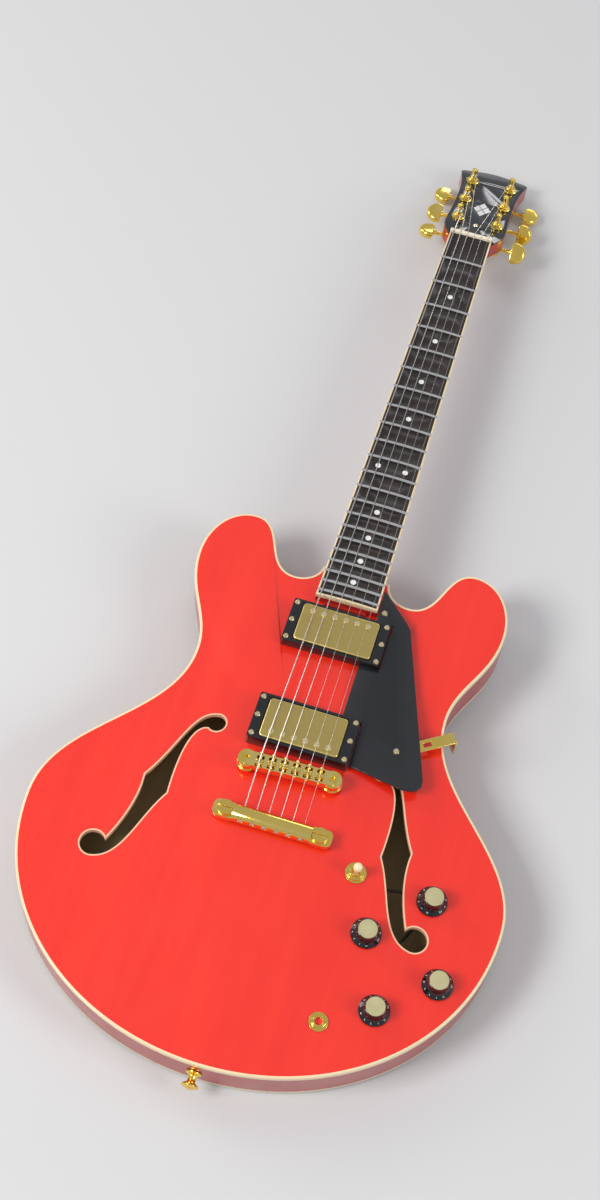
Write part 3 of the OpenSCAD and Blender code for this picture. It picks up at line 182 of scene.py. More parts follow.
# %% Wood figure: long soft bands with fine pores
wood_figure, a, z = open_group(
    "wood_figure",
    [("Vector", VECTOR, None), ("Scale", FLOAT, 1.0), ("Stretch", VECTOR, (1, 0.06, 1)),
     ("Dark", COLOR, (0.2, 0.1, 0.05, 1)), ("Light", COLOR, (0.4, 0.2, 0.1, 1)), ("Contrast", FLOAT, 1.0)],
    [("Color", COLOR), ("Height", FLOAT)])
stretch = add_node(wood_figure, "ShaderNodeVectorMath", operation="MULTIPLY")
bands = add_node(wood_figure, "ShaderNodeTexNoise", Scale=38.0, Detail=5.0, Roughness=0.6, Distortion=0.6)
pores = add_node(wood_figure, "ShaderNodeTexNoise", Scale=420.0, Detail=3.0, Roughness=0.7)
scaled = add_node(wood_figure, "ShaderNodeVectorMath", operation="SCALE")
spread = add_node(wood_figure, "ShaderNodeMapRange", From_Min=0.3, From_Max=0.7)
tone = add_node(wood_figure, "ShaderNodeMix", data_type="RGBA")
pore_mix = add_node(wood_figure, "ShaderNodeMath", operation="MULTIPLY")
link = wood_figure.links.new
link(a.outputs["Vector"], scaled.inputs[0])
link(a.outputs["Scale"], scaled.inputs["Scale"])
link(scaled.outputs[0], stretch.inputs[0])
link(a.outputs["Stretch"], stretch.inputs[1])
link(stretch.outputs[0], bands.inputs["Vector"])
link(stretch.outputs[0], pores.inputs["Vector"])
link(bands.outputs["Fac"], spread.inputs["Value"])
link(spread.outputs[0], pore_mix.inputs[0])
link(a.outputs["Contrast"], pore_mix.inputs[1])
link(pore_mix.outputs[0], tone.inputs["Factor"])
link(a.outputs["Dark"], tone.inputs["A"])
link(a.outputs["Light"], tone.inputs["B"])
link(tone.outputs["Result"], z.inputs["Color"])
link(pores.outputs["Fac"], z.inputs["Height"])
print("wood figure ready")

# %% Smudges: a slow unevenness of the gloss
smudges, a, z = open_group(
    "smudges",
    [("Vector", VECTOR, None), ("Scale", FLOAT, 30.0), ("Low", FLOAT, 0.1), ("High", FLOAT, 0.3)],
    [("Value", FLOAT), ("Fine", FLOAT)])
cloud = add_node(smudges, "ShaderNodeTexNoise", Detail=4.0, Roughness=0.65)
speck = add_node(smudges, "ShaderNodeTexNoise", Scale=900.0, Detail=2.0)
to_range = add_node(smudges, "ShaderNodeMapRange", From_Min=0.3, From_Max=0.7)
link = smudges.links.new
link(a.outputs["Vector"], cloud.inputs["Vector"])
link(a.outputs["Vector"], speck.inputs["Vector"])
link(a.outputs["Scale"], cloud.inputs["Scale"])
link(cloud.outputs["Fac"], to_range.inputs["Value"])
link(a.outputs["Low"], to_range.inputs["To Min"])
link(a.outputs["High"], to_range.inputs["To Max"])
link(to_range.outputs[0], z.inputs["Value"])
link(speck.outputs["Fac"], z.inputs["Fine"])
print("smudges ready")

# %% Brushed lines: fine parallel scratches along x
brushed, a, z = open_group(
    "brushed",
    [("Vector", VECTOR, None), ("Stretch", VECTOR, (14, 900, 900)), ("Low", FLOAT, 0.2), ("High", FLOAT, 0.4)],
    [("Value", FLOAT), ("Height", FLOAT)])
stretch = add_node(brushed, "ShaderNodeVectorMath", operation="MULTIPLY")
lines = add_node(brushed, "ShaderNodeTexNoise", Scale=1.0, Detail=4.0, Roughness=0.7)
to_range = add_node(brushed, "ShaderNodeMapRange", From_Min=0.25, From_Max=0.75)
link = brushed.links.new
link(a.outputs["Vector"], stretch.inputs[0])
link(a.outputs["Stretch"], stretch.inputs[1])
link(stretch.outputs[0], lines.inputs["Vector"])
link(lines.outputs["Fac"], to_range.inputs["Value"])
link(a.outputs["Low"], to_range.inputs["To Min"])
link(a.outputs["High"], to_range.inputs["To Max"])
link(to_range.outputs[0], z.inputs["Value"])
link(lines.outputs["Fac"], z.inputs["Height"])
print("brushed lines ready")

# %% Worn edges: the corners that hands and cloths rub lighter
edge_wear, a, z = open_group(
    "edge_wear",
    [("Base", COLOR, (0.5, 0.5, 0.5, 1)), ("Worn", COLOR, (0.9, 0.9, 0.9, 1)), ("Amount", FLOAT, 0.5)],
    [("Color", COLOR), ("Mask", FLOAT)])
shape = add_node(edge_wear, "ShaderNodeNewGeometry")
corner = add_node(edge_wear, "ShaderNodeMapRange", From_Min=0.52, From_Max=0.62)
strength = add_node(edge_wear, "ShaderNodeMath", operation="MULTIPLY")
tone = add_node(edge_wear, "ShaderNodeMix", data_type="RGBA")
link = edge_wear.links.new
link(shape.outputs["Pointiness"], corner.inputs["Value"])
link(corner.outputs[0], strength.inputs[0])
link(a.outputs["Amount"], strength.inputs[1])
link(strength.outputs[0], tone.inputs["Factor"])
link(a.outputs["Base"], tone.inputs["A"])
link(a.outputs["Worn"], tone.inputs["B"])
link(tone.outputs["Result"], z.inputs["Color"])
link(strength.outputs[0], z.inputs["Mask"])
print("worn edges ready")


# %% [markdown]
# ## Finishes
# Each finish starts from the same short recipe: a Principled shader with its plain values set on its
# own sockets, object coordinates for the pattern, and the shared groups linked in.

# %% The recipe of a finish
class Finish:
    def __init__(self, name, **values):
        self.material = bpy.data.materials.new(name)
        self.material.use_nodes = True
        self.tree = self.material.node_tree
        self.shader = self.tree.nodes["Principled BSDF"]
        for key, value in values.items():
            self.shader.inputs[key.replace("_", " ")].default_value = value
        self.place = self.tree.nodes.new("ShaderNodeTexCoord").outputs["Object"]

    def group(self, which, vector=True, **values):
        node = self.tree.nodes.new("ShaderNodeGroup")
        node.node_tree = which
        for key, value in values.items():
            node.inputs[key].default_value = value
        if vector:
            self.tree.links.new(self.place, node.inputs["Vector"])
        return node

    def link(self, out, socket):
        self.tree.links.new(out, self.shader.inputs[socket])

    def bump(self, out, strength, depth=0.0003):
        node = self.tree.nodes.new("ShaderNodeBump")
        node.inputs["Strength"].default_value = strength
        node.inputs["Distance"].default_value = depth
        self.tree.links.new(out, node.inputs["Height"])
        self.tree.links.new(node.outputs["Normal"], self.shader.inputs["Normal"])
        return node


print("recipe ready")


# %% [markdown]
# Lacquered wood is a coloured film over maple: the colour nearly hides the figure, and a clear coat
# on top gives the mirror. The top is a bright orange red as lit, and the sides, back and neck a darker copy of
# the same red as painted shade.

# %% Lacquers
def lacquer(name, dark, light, rough=0.32, film=1.0):
    finish = Finish(name, Coat_Weight=film, Coat_Roughness=0.04, Specular_IOR_Level=0.4)
    figure = finish.group(wood_figure, Scale=1.0, Dark=dark, Light=light, Contrast=0.9)
    gloss = finish.group(smudges, Scale=18.0, Low=rough - 0.08, High=rough + 0.08)
    finish.link(figure.outputs["Color"], "Base Color")
    finish.link(gloss.outputs["Value"], "Roughness")
    finish.bump(figure.outputs["Height"], 0.02, 0.0001)
    return finish.material


# The top's bright red is the lacquer as lit; the second lacquer is the same red darkened as painted shade.
top_red_lit = lacquer("top_red_lit", (0.78, 0.018, 0.006, 1), (0.86, 0.026, 0.008, 1))
cherry_in_painted_shade = lacquer("cherry_in_painted_shade", (0.34, 0.008, 0.004, 1), (0.44, 0.012, 0.006, 1), film=0.5)
print(top_red_lit.name, cherry_in_painted_shade.name)


# %% [markdown]
# Bare wood shows inside the sound holes, and the plates are plywood, so their cut edges and inner
# faces are a dull tan. The fretboard is a dark oiled wood with open pores.

# %% Bare and oiled woods
def bare_wood(name, dark, light, rough, pore=0.3):
    finish = Finish(name)
    figure = finish.group(wood_figure, Scale=1.3, Dark=dark, Light=light, Contrast=1.0)
    sheen = finish.group(smudges, Scale=25.0, Low=rough - 0.1, High=rough + 0.1)
    finish.link(figure.outputs["Color"], "Base Color")
    finish.link(sheen.outputs["Value"], "Roughness")
    finish.bump(figure.outputs["Height"], pore, 0.0002)
    return finish.material


inner_ply = bare_wood("inner_ply", (0.42, 0.30, 0.13, 1), (0.54, 0.40, 0.19, 1), 0.7)
block_wood = bare_wood("block_wood", (0.50, 0.34, 0.17, 1), (0.64, 0.46, 0.26, 1), 0.7)
board_wood = bare_wood("board_wood", (0.010, 0.007, 0.006, 1), (0.030, 0.019, 0.014, 1), 0.42, 0.5)
print(inner_ply.name, block_wood.name, board_wood.name)


# %% [markdown]
# The plastics are the cream binding, the black rings, guard, veneer and knobs, and the white marks.
# Moulded plastic has a faint orange peel, and its corners catch more light where they are rubbed.

# %% Plastics
def plastic(name, base, worn, rough=0.2, wear=0.4, peel=0.03):
    finish = Finish(name, Specular_IOR_Level=0.5, Coat_Weight=0.35, Coat_Roughness=0.08)
    edges = finish.group(edge_wear, vector=False, Base=base, Worn=worn, Amount=wear)
    gloss = finish.group(smudges, Scale=45.0, Low=rough - 0.06, High=rough + 0.08)
    finish.link(edges.outputs["Color"], "Base Color")
    finish.link(gloss.outputs["Value"], "Roughness")
    finish.bump(gloss.outputs["Fine"], peel, 0.0001)
    return finish.material


cream_plastic = plastic("cream_plastic", (0.80, 0.63, 0.38, 1), (0.88, 0.75, 0.52, 1), 0.3)
hole_edging = plastic("hole_edging", (0.85, 0.42, 0.24, 1), (0.9, 0.6, 0.4, 1), 0.4)
black_plastic = plastic("black_plastic", (0.005, 0.005, 0.006, 1), (0.045, 0.045, 0.05, 1), 0.16)
guard_plastic = plastic("guard_plastic", (0.007, 0.007, 0.008, 1), (0.07, 0.07, 0.075, 1), 0.2, 0.5)
veneer_plastic = plastic("veneer_plastic", (0.006, 0.006, 0.008, 1), (0.03, 0.03, 0.035, 1), 0.08, 0.2, 0.01)
dial_white = plastic("dial_white", (0.8, 0.8, 0.78, 1), (0.9, 0.9, 0.9, 1), 0.4)
bone = plastic("bone", (0.80, 0.70, 0.50, 1), (0.88, 0.80, 0.64, 1), 0.34)
tip_plastic = plastic("tip_plastic", (0.86, 0.72, 0.40, 1), (0.92, 0.84, 0.6, 1), 0.22)
insulation = plastic("insulation", (0.02, 0.02, 0.02, 1), (0.08, 0.08, 0.08, 1), 0.5)
capacitor_resin = plastic("capacitor_resin", (0.55, 0.16, 0.02, 1), (0.7, 0.3, 0.1, 1), 0.25)
print("ten plastics")


# %% [markdown]
# Mother-of-pearl shifts in colour from patch to patch, since its thin layers run at many slopes.

# %% Pearl
pearl_finish = Finish("pearl", Specular_IOR_Level=0.6, Coat_Weight=0.6, Coat_Roughness=0.05)
patches = pearl_finish.tree.nodes.new("ShaderNodeTexVoronoi")
patches.inputs["Scale"].default_value = 260
pearl_finish.tree.links.new(pearl_finish.place, patches.inputs["Vector"])
shift = pearl_finish.tree.nodes.new("ShaderNodeMix")
shift.data_type = "RGBA"
shift.inputs["A"].default_value = (0.78, 0.80, 0.76, 1)
shift.inputs["B"].default_value = (0.88, 0.82, 0.80, 1)
pearl_finish.tree.links.new(patches.outputs["Distance"], shift.inputs["Factor"])
pearl_finish.link(shift.outputs["Result"], "Base Color")
pearl_gloss = pearl_finish.group(smudges, Scale=120.0, Low=0.15, High=0.3)
pearl_finish.link(pearl_gloss.outputs["Value"], "Roughness")
pearl = pearl_finish.material
print(pearl.name)


# %% [markdown]
# Gold plate is a bright yellow metal with a mirror finish on the cast parts. The pickup covers are
# brushed first, so they look duller, and their corners shine where the brushing stops.

# %% Metals
def metal(name, base, worn, rough, wear=0.5, lines=None, line_bump=0.05):
    finish = Finish(name, Metallic=1.0)
    edges = finish.group(edge_wear, vector=False, Base=base, Worn=worn, Amount=wear)
    finish.link(edges.outputs["Color"], "Base Color")
    if lines:
        strokes = finish.group(brushed, Stretch=lines, Low=rough - 0.1, High=rough + 0.1)
        finish.link(strokes.outputs["Value"], "Roughness")
        finish.bump(strokes.outputs["Height"], line_bump, 0.0001)
    else:
        gloss = finish.group(smudges, Scale=60.0, Low=rough - 0.05, High=rough + 0.07)
        finish.link(gloss.outputs["Value"], "Roughness")
        finish.bump(gloss.outputs["Fine"], 0.02, 0.0001)
    return finish.material


gold = metal("gold_plate", (0.93, 0.66, 0.13, 1), (1.0, 0.82, 0.36, 1), 0.14)
cover_gold = metal("brushed_gold", (0.66, 0.50, 0.16, 1), (1.0, 0.90, 0.55, 1), 0.36, 1.0, (14, 900, 900))
cap_gold = metal("cap_gold", (0.95, 0.82, 0.38, 1), (1.0, 0.92, 0.56, 1), 0.35, 0.6)
pole_gold = metal("pole_gold", (1.0, 0.86, 0.46, 1), (1.0, 0.95, 0.75, 1), 0.1)
screw_gold = metal("screw_gold", (0.88, 0.74, 0.42, 1), (1.0, 0.92, 0.7, 1), 0.2)
nickel = metal("nickel_wire", (0.74, 0.72, 0.68, 1), (0.9, 0.9, 0.88, 1), 0.16)
string_steel = metal("string_steel", (0.72, 0.68, 0.62, 1), (0.9, 0.88, 0.84, 1), 0.24, 0.3,
                     (500, 5200, 500), 0.15)
plain_steel = metal("plain_steel", (0.5, 0.5, 0.49, 1), (0.75, 0.75, 0.74, 1), 0.34)
copper_coil = metal("copper_coil", (0.38, 0.13, 0.05, 1), (0.6, 0.3, 0.15, 1), 0.35, 0.3,
                    (900, 900, 6000), 0.4)
print("nine metals")


# %% [markdown]
# ## Pieces with softened edges
# A CAD solid has perfectly sharp corners. Real castings, turned parts and moulded plastic never do:
# plating and polish round every edge, and that rounding is what catches the light. A merged copy of
# the solid is cleaned of the flat seams between its triangles, its corners are bevelled, and faces
# that meet at a low angle are shaded as one curve.

# %% Helpers for a finished piece
def make_object(bm, name, materials, smooth_angle=35):
    mesh = bpy.data.meshes.new(name)
    bm.to_mesh(mesh)
    bm.free()
    for polygon in mesh.polygons:
        polygon.use_smooth = True
    mesh.set_sharp_from_angle(angle=math.radians(smooth_angle))
    for material in materials:
        mesh.materials.append(material)
    piece = bpy.data.objects.new(name, mesh)
    scene.collection.objects.link(piece)
    return piece


def body_of(node):
    return nodes[node]["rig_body"]


def settle(piece, node, *others):
    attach(piece, body_of(node))
    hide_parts(node, *others)
    return piece


def merged_copy(node, weld=2e-6):
    bm = bmesh.new()
    bm.from_mesh(nodes[node].data)
    bmesh.ops.remove_doubles(bm, verts=bm.verts, dist=weld)
    bmesh.ops.dissolve_limit(bm, angle_limit=math.radians(0.6), verts=bm.verts, edges=bm.edges)
    return bm


def soften(bm, width, corner=28, segments=2):
    sharp = [e for e in bm.edges if len(e.link_faces) == 2 and e.calc_face_angle(0) > math.radians(corner)]
    bmesh.ops.bevel(bm, geom=sharp, offset=width * MM, offset_type="OFFSET", affect="EDGES",
                    segments=segments, profile=0.5, clamp_overlap=True, material=-1)


def softened(node, name, material, width, corner=28, segments=2, smooth=40):
    bm = merged_copy(node)
    if width:
        soften(bm, width, corner, segments)
    return settle(make_object(bm, name, [material], smooth), node)


print("helpers ready")

# %% Turned, cast and moulded parts
softened_parts = [
    ("headstock_veneer", "head_face", veneer_plastic, 0.25),
    ("pearl_inlays", "pearl_marks", pearl, 0.0),
    ("fretboard_binding", "board_binding", cream_plastic, 0.25),
    ("frets", "fret_wires", nickel, 0.0),
    ("nut", "string_nut", bone, 0.2),
    ("truss_rod_cover", "rod_cover", black_plastic, 0.35),
    ("truss_rod", "neck_rod", plain_steel, 0.0),
    ("tuner_housings", "gear_housings", gold, 0.9),
    ("tuner_bushings", "post_bushings", gold, 0.3),
    ("pickup_rings", "frames_of_pickups", black_plastic, 0.7),
    ("pickup_coils", "wound_coils", copper_coil, 0.0),
    ("pickup_baseplates", "base_plates", plain_steel, 0.0),
    ("pole_screws", "pole_heads", pole_gold, 0.25),
    ("bridge_body", "bridge_casting", gold, 0.5),
    ("intonation_screws", "saddle_screws", gold, 0.15),
    ("bridge_posts", "bridge_supports", gold, 0.3),
    ("tailpiece", "tail_casting", gold, 0.8),
    ("tailpiece_studs", "tail_studs", gold, 0.5),
    ("pickguard", "finger_guard", guard_plastic, 0.5),
    ("pickguard_bracket", "guard_bracket", gold, 0.3),
    ("selector_switch", "switch_body", gold, 0.4),
    ("potentiometers", "control_pots", plain_steel, 0.4),
    ("tone_capacitors", "capacitors", capacitor_resin, 0.8),
    ("output_jack", "jack_socket", gold, 0.35),
    ("strap_buttons", "strap_pins", gold, 0.3),
    ("mounting_screws", "small_screws", screw_gold, 0.2),
    ("selector_lever", "switch_tip", tip_plastic, 0.0),
    ("wiring", "hookup_wires", insulation, 0.0),
    ("linings", "kerfed_linings", block_wood, 0.0),
    ("center_block", "solid_core", block_wood, 0.0),
    ("strings", "six_strings", string_steel, 0.0)]
for i in range(1, 7):
    softened_parts.append((f"tuner_key_{i}", f"tuner_button_{i}", gold, 0.35))
    softened_parts.append((f"tuner_post_{i}", f"string_post_{i}", gold, 0.2))
    softened_parts.append((f"saddle_{i}", f"saddle_block_{i}", gold, 0.25))
for node, name, material, width in softened_parts:
    piece = softened(node, name, material, width)
    print(name, len(piece.data.polygons), "faces")


# %% [markdown]
# ## The body's outline
# The sides are a strip of wood bent round a form. The form's outline is a chain of smooth curves
# between a few stations: the tail, the widest part of the lower bout, the waist, the upper bout, the
# tip of the horn, and the corner of the neck joint. Each station has a heading and two tensions.

# %% Outline of the sides
joint_y = scale_length * 2 ** (-19 / 12) - 2
stations = [(0, -257, 0, 0, 0.42), (207, -77.1, 90, 0.37, 0.36), (114, joint_y - 116, 90, 0.36, 0.36),
            (143, joint_y - 18, 90, 0.42, 0.42), (104, joint_y + 32, 180, 0.36, 0.42),
            (53, joint_y - 18, 180, 0.42, 0.42), (31, joint_y, 95, 0.36, 0)]


def curve_point(p, q, t):
    start, end = Vector(p[:2]), Vector(q[:2])
    reach = (end - start).length
    out = Vector((math.cos(math.radians(p[2])), math.sin(math.radians(p[2]))))
    back = Vector((math.cos(math.radians(q[2])), math.sin(math.radians(q[2]))))
    b, c = start + out * reach * p[4], end - back * reach * q[3]
    return start * (1 - t) ** 3 + b * 3 * t * (1 - t) ** 2 + c * 3 * t * t * (1 - t) + end * t ** 3


def outline(steps):
    half = [curve_point(p, q, k / n) for p, q, n in zip(stations, stations[1:], steps) for k in range(n)]
    half.append(Vector(stations[-1][:2]))
    return half + [Vector((-p.x, p.y)) for p in reversed(half[1:])]


def inset_loop(loop, depth):
    moved = []
    for i, p in enumerate(loop):
        before, after = loop[i - 1], loop[(i + 1) % len(loop)]
        u, v = (p - before).normalized(), (after - p).normalized()
        m, n = Vector((-u.y, u.x)), Vector((-v.y, v.x))
        moved.append(p + (m + n) * depth / (1 + m.dot(n)))
    return moved


binding_w = 2.2
side_line = outline([39, 30, 24, 24, 27, 12])
plate_line = inset_loop(side_line, binding_w)
print(len(side_line), "points round the body")


# %% [markdown]
# The top and back are pressed plywood. They rise 10.5 mm from a flat rim to the middle, in rings that
# follow the outline near the edge and turn into an oval further in. The sheet is grown inwards ring
# by ring with extrusions, and then given its thickness.

# %% Height of the arch
arch_rise = 10.5
oval = (0.68 * 207, 0.8 * 257)
ring_count = 26


def arch_of(share):
    return 0 if share >= 1 else arch_rise * (1 + math.cos(math.pi * share ** 1.6)) / 2


def ring_point(p, share):
    way = p.normalized()
    inner = 1 / math.hypot(way.x / oval[0], way.y / oval[1])
    reach = share * (inner + (p.length - inner) * share * share)
    return Vector((way.x * reach, way.y * reach, arch_of(share)))


def arch_at(x, y):
    point = Vector((x, y))
    if point.length < 0.001:
        return arch_rise
    way = point.normalized()
    reach = None
    for i, corner in enumerate(plate_line):
        step = plate_line[(i + 1) % len(plate_line)] - corner
        k = corner.x * step.y - corner.y * step.x
        u = (point.x * step.y - point.y * step.x) / k
        t = (corner.x * point.y - corner.y * point.x) / (u * k) if abs(u) > 1e-9 else -1
        if u > 0 and -1e-6 <= t < 1:
            reach = point.length / u
            break
    inner = 1 / math.hypot(way.x / oval[0], way.y / oval[1])
    low, high = 0.0, 1.2
    for _ in range(22):
        mid = (low + high) / 2
        low, high = (mid, high) if mid * (inner + (reach - inner) * mid * mid) < point.length else (low, mid)
    return arch_of(mid)


print("arch at the middle and by the knobs", round(arch_at(0, 0), 2), round(arch_at(144, -71), 2))


# %% A plate grown ring by ring
crease_passes = 8


def arched_sheet(plate_depth):
    bm = bmesh.new()
    rim_verts = [bm.verts.new((p.x, p.y, 0)) for p in plate_line]
    edges = [bm.edges.new((rim_verts[i - 1], rim_verts[i])) for i in range(len(rim_verts))]
    home = dict(zip(rim_verts, plate_line))
    for k in range(ring_count - 1, -1, -1):
        grown = bmesh.ops.extrude_edge_only(bm, edges=edges)["geom"]
        fresh = [g for g in grown if isinstance(g, bmesh.types.BMVert)]
        new_home = {}
        for v in fresh:
            source = next(e.other_vert(v) for e in v.link_edges if e.other_vert(v) in home)
            new_home[v] = home[source]
            v.co = ring_point(home[source], k / ring_count)
        home = new_home
        edges = [g for g in grown if isinstance(g, bmesh.types.BMEdge)]
    bmesh.ops.remove_doubles(bm, verts=list(home), dist=0.01)
    inner = [v for v in bm.verts if not v.is_boundary]
    for _ in range(crease_passes):
        bmesh.ops.smooth_vert(bm, verts=inner, factor=0.5, use_axis_x=False, use_axis_y=False,
                              use_axis_z=True)
    bmesh.ops.recalc_face_normals(bm, faces=bm.faces)
    if sum(f.normal.z for f in bm.faces) < 0:
        bmesh.ops.reverse_faces(bm, faces=bm.faces)
    copied = bmesh.ops.duplicate(bm, geom=bm.verts[:] + bm.edges[:] + bm.faces[:])["geom"]
    under = [g for g in copied if isinstance(g, bmesh.types.BMFace)]
    bmesh.ops.translate(bm, verts=[g for g in copied if isinstance(g, bmesh.types.BMVert)],
                        vec=(0, 0, -plate_depth))
    bmesh.ops.reverse_faces(bm, faces=under)
    bmesh.ops.bridge_loops(bm, edges=[e for e in bm.edges if e.is_boundary])
    bmesh.ops.recalc_face_normals(bm, faces=bm.faces)
    return bm


def bake_place(bm, place):
    bm.transform(place @ SCALE)
    return bm


def boolean_cut(piece, tool_bm):
    tool_mesh = bpy.data.meshes.new("cutter")
    tool_bm.to_mesh(tool_mesh)
    tool_bm.free()
    tool = bpy.data.objects.new("cutter", tool_mesh)
    scene.collection.objects.link(tool)
    modifier = piece.modifiers.new("cut", "BOOLEAN")
    modifier.operation = "DIFFERENCE"
    modifier.solver = "EXACT"
    modifier.object = tool
    bpy.context.view_layer.update()
    result = bpy.data.meshes.new_from_object(piece.evaluated_get(bpy.context.evaluated_depsgraph_get()))
    piece.modifiers.clear()
    old = piece.data
    piece.data = result
    bpy.data.objects.remove(tool)
    bpy.data.meshes.remove(tool_mesh)
    bpy.data.meshes.remove(old)
    return piece


print("plate recipe ready")

# %% [markdown]
# The sound holes are long curled slots. Their outline is two bent edges that meet in a pointed notch
# halfway, and a round eye at each end. A thin coloured edging follows it.

# %% Outline of a sound hole
def bent(a, b, c, d, count):
    a, b, c, d = Vector(a), Vector(b), Vector(c), Vector(d)
    return [a * (1 - t) ** 3 + b * 3 * t * (1 - t) ** 2 + c * 3 * t * t * (1 - t) + d * t ** 3
            for t in (k / count for k in range(count))]


def arc(centre, radius, first, last, count):
    angles = [math.radians(first + (last - first) * k / count) for k in range(count)]
    return [Vector((centre[0] + radius * math.cos(q), centre[1] + radius * math.sin(q))) for q in angles]


hole_line = (bent((72.5, 34.5), (96, 34), (96, -2), (116.8, -36), 24)
             + bent((116.8, -36), (114, -58), (121, -82), (129.6, -101), 16)
             + arc((138.8, -106.5), 10.7, 149, -105, 30)
             + bent((136, -116.8), (112, -112), (110, -74), (94, -47.3), 24)
             + bent((94, -47.3), (96, -18), (95, 20), (79, 20.5), 24)
             + arc((73.7, 26.6), 8, -49, -252, 26))
edging_w = 1.3
edging_line = inset_loop(hole_line, edging_w)
print(len(hole_line), "points round a sound hole")


# %% Prisms from a flat loop
def prism(bm, loop, bottom, top, flip=False):
    points = [(-p.x if flip else p.x, p.y) for p in loop]
    face = bm.faces.new([bm.verts.new((x, y, bottom)) for x, y in points])
    grown = bmesh.ops.extrude_face_region(bm, geom=[face])["geom"]
    bmesh.ops.translate(bm, verts=[g for g in grown if isinstance(g, bmesh.types.BMVert)],
                        vec=(0, 0, top - bottom))
    bmesh.ops.recalc_face_normals(bm, faces=bm.faces)


def two_materials(piece, outside):
    up = (BODY.to_3x3() @ Vector((0, 0, 1))).normalized()
    for polygon in piece.data.polygons:
        polygon.material_index = 0 if polygon.normal.dot(up) * outside > 0.2 else 1
        polygon.use_smooth = True
    piece.data.set_sharp_from_angle(angle=math.radians(35))


# %% Arched top with its sound holes
top_bm = arched_sheet(plate_t)
bmesh.ops.translate(top_bm, verts=top_bm.verts, vec=(0, 0, rim_z))
top_plate = make_object(bake_place(top_bm, BODY), "arched_top", [top_red_lit, inner_ply])
hole_tool = bmesh.new()
for flip in (False, True):
    prism(hole_tool, inset_loop(hole_line, edging_w + 0.1), rim_z - 20, rim_z + 30, flip)
boolean_cut(top_plate, bake_place(hole_tool, BODY))
two_materials(top_plate, 1)
settle(top_plate, "top_plate")
print("top", len(top_plate.data.polygons), "faces")

# %% Arched back
back_bm = arched_sheet(plate_t)
bmesh.ops.scale(back_bm, verts=back_bm.verts, vec=(1, 1, -1))
bmesh.ops.recalc_face_normals(back_bm, faces=back_bm.faces)
# The back takes the darker red, which is painted shade.
back_plate = make_object(bake_place(back_bm, BODY), "arched_back", [cherry_in_painted_shade, inner_ply])
two_materials(back_plate, -1)
settle(back_plate, "back_plate")
print("back", len(back_plate.data.polygons), "faces")


# %% [markdown]
# The sides are a bent strip, and the binding is a square plastic strip let into the corner between
# the sides and each plate, scraped round on its outer corner.

# %% Sides and binding
def hoop(outer, inner, top, height, lift=None):
    bm = bmesh.new()
    rows = []
    for loop in (outer, inner):
        verts = [bm.verts.new((p.x, p.y, top + (lift(p) if lift else 0))) for p in loop]
        rows += [bm.edges.new((verts[i - 1], verts[i])) for i in range(len(verts))]
    bmesh.ops.bridge_loops(bm, edges=rows)
    grown = bmesh.ops.extrude_face_region(bm, geom=bm.faces[:])["geom"]
    bmesh.ops.translate(bm, verts=[g for g in grown if isinstance(g, bmesh.types.BMVert)],
                        vec=(0, 0, -height))
    bmesh.ops.recalc_face_normals(bm, faces=bm.faces)
    return bm


wall_gap = 0.1
rim_wall = 3.0
rim_bm = hoop(side_line, inset_loop(side_line, rim_wall), rim_z - plate_t - wall_gap,
              rim_z - 2 * (plate_t + wall_gap))
# The sides take the darker red, which is painted shade.
sides = make_object(bake_place(rim_bm, BODY), "bent_sides", [cherry_in_painted_shade, inner_ply])
for polygon in sides.data.polygons:
    polygon.material_index = 0
settle(sides, "rim")
binding_bm = hoop(side_line, plate_line, rim_z, plate_t)
lower_bm = hoop(side_line, plate_line, plate_t, plate_t)
for bm, crest in ((binding_bm, rim_z), (lower_bm, 0.0)):
    outer_spots = {(round(p.x, 3), round(p.y, 3)) for p in side_line}
    corner_edges = [e for e in bm.edges if all(abs(v.co.z - crest) < 0.01
                    and (round(v.co.x, 3), round(v.co.y, 3)) in outer_spots for v in e.verts)]
    bmesh.ops.bevel(bm, geom=corner_edges, offset=1.1, affect="EDGES", segments=4, profile=0.5,
                    clamp_overlap=True, material=-1)
binding = make_object(bake_place(binding_bm, BODY), "top_binding", [cream_plastic], 50)
settle(binding, "binding")
back_binding = make_object(bake_place(lower_bm, BODY), "back_binding", [cream_plastic], 50)
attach(back_binding, "body")
print("sides and binding", len(sides.data.polygons), len(binding.data.polygons))

# %% Edging of the sound holes
for flip, name in ((False, "treble_hole_edging"), (True, "bass_hole_edging")):
    edging_bm = hoop(edging_line, hole_line, rim_z + 0.05, plate_t, lambda p: arch_at(p.x, p.y))
    if flip:
        bmesh.ops.scale(edging_bm, verts=edging_bm.verts, vec=(-1, 1, 1))
        bmesh.ops.recalc_face_normals(edging_bm, faces=edging_bm.faces)
    edging = make_object(bake_place(edging_bm, BODY), name, [hole_edging], 50)
    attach(edging, "body")
print("two edgings")

# %% [markdown]
# ## Neck and fretboard
# The neck is one carved piece of wood from the heel to the headstock. It is a merged copy of the
# CAD solid under the same lacquer as the sides, and the dark board lies on it.

# %% Neck
# The neck takes the darker red, which is painted shade.
neck_piece = softened("neck", "set_neck", cherry_in_painted_shade, 0.0)
print("neck", len(neck_piece.data.polygons), "faces")
board = softened("fretboard", "board", board_wood, 0.0)
print("board", len(board.data.polygons), "faces")


# %% [markdown]
# ## Pickup covers
# A cover is a shallow box drawn from one sheet of metal, so its corners are generously round and it
# has no seams. The face is brushed, and the round corners stay bright.

# %% Frame of a pickup
board_end = scale_length * 2 ** (-22 / 12) - 5
pickup_spots = (board_end - 32, 38.5)
action_nut, action_bridge = 1.6, 4.7


def string_height(y):
    action = action_bridge + (action_nut - action_bridge) * y / scale_length
    return board_z - y * math.tan(-neck_lean) + action


string_lean = math.atan((string_height(0) - string_height(100)) / 100)


def pickup_frame(k):
    y = pickup_spots[k]
    seat = Matrix.Translation((0, y * MM, string_height(y) * MM))
    return BODY @ seat @ Matrix.Rotation(-string_lean, 4, "X")


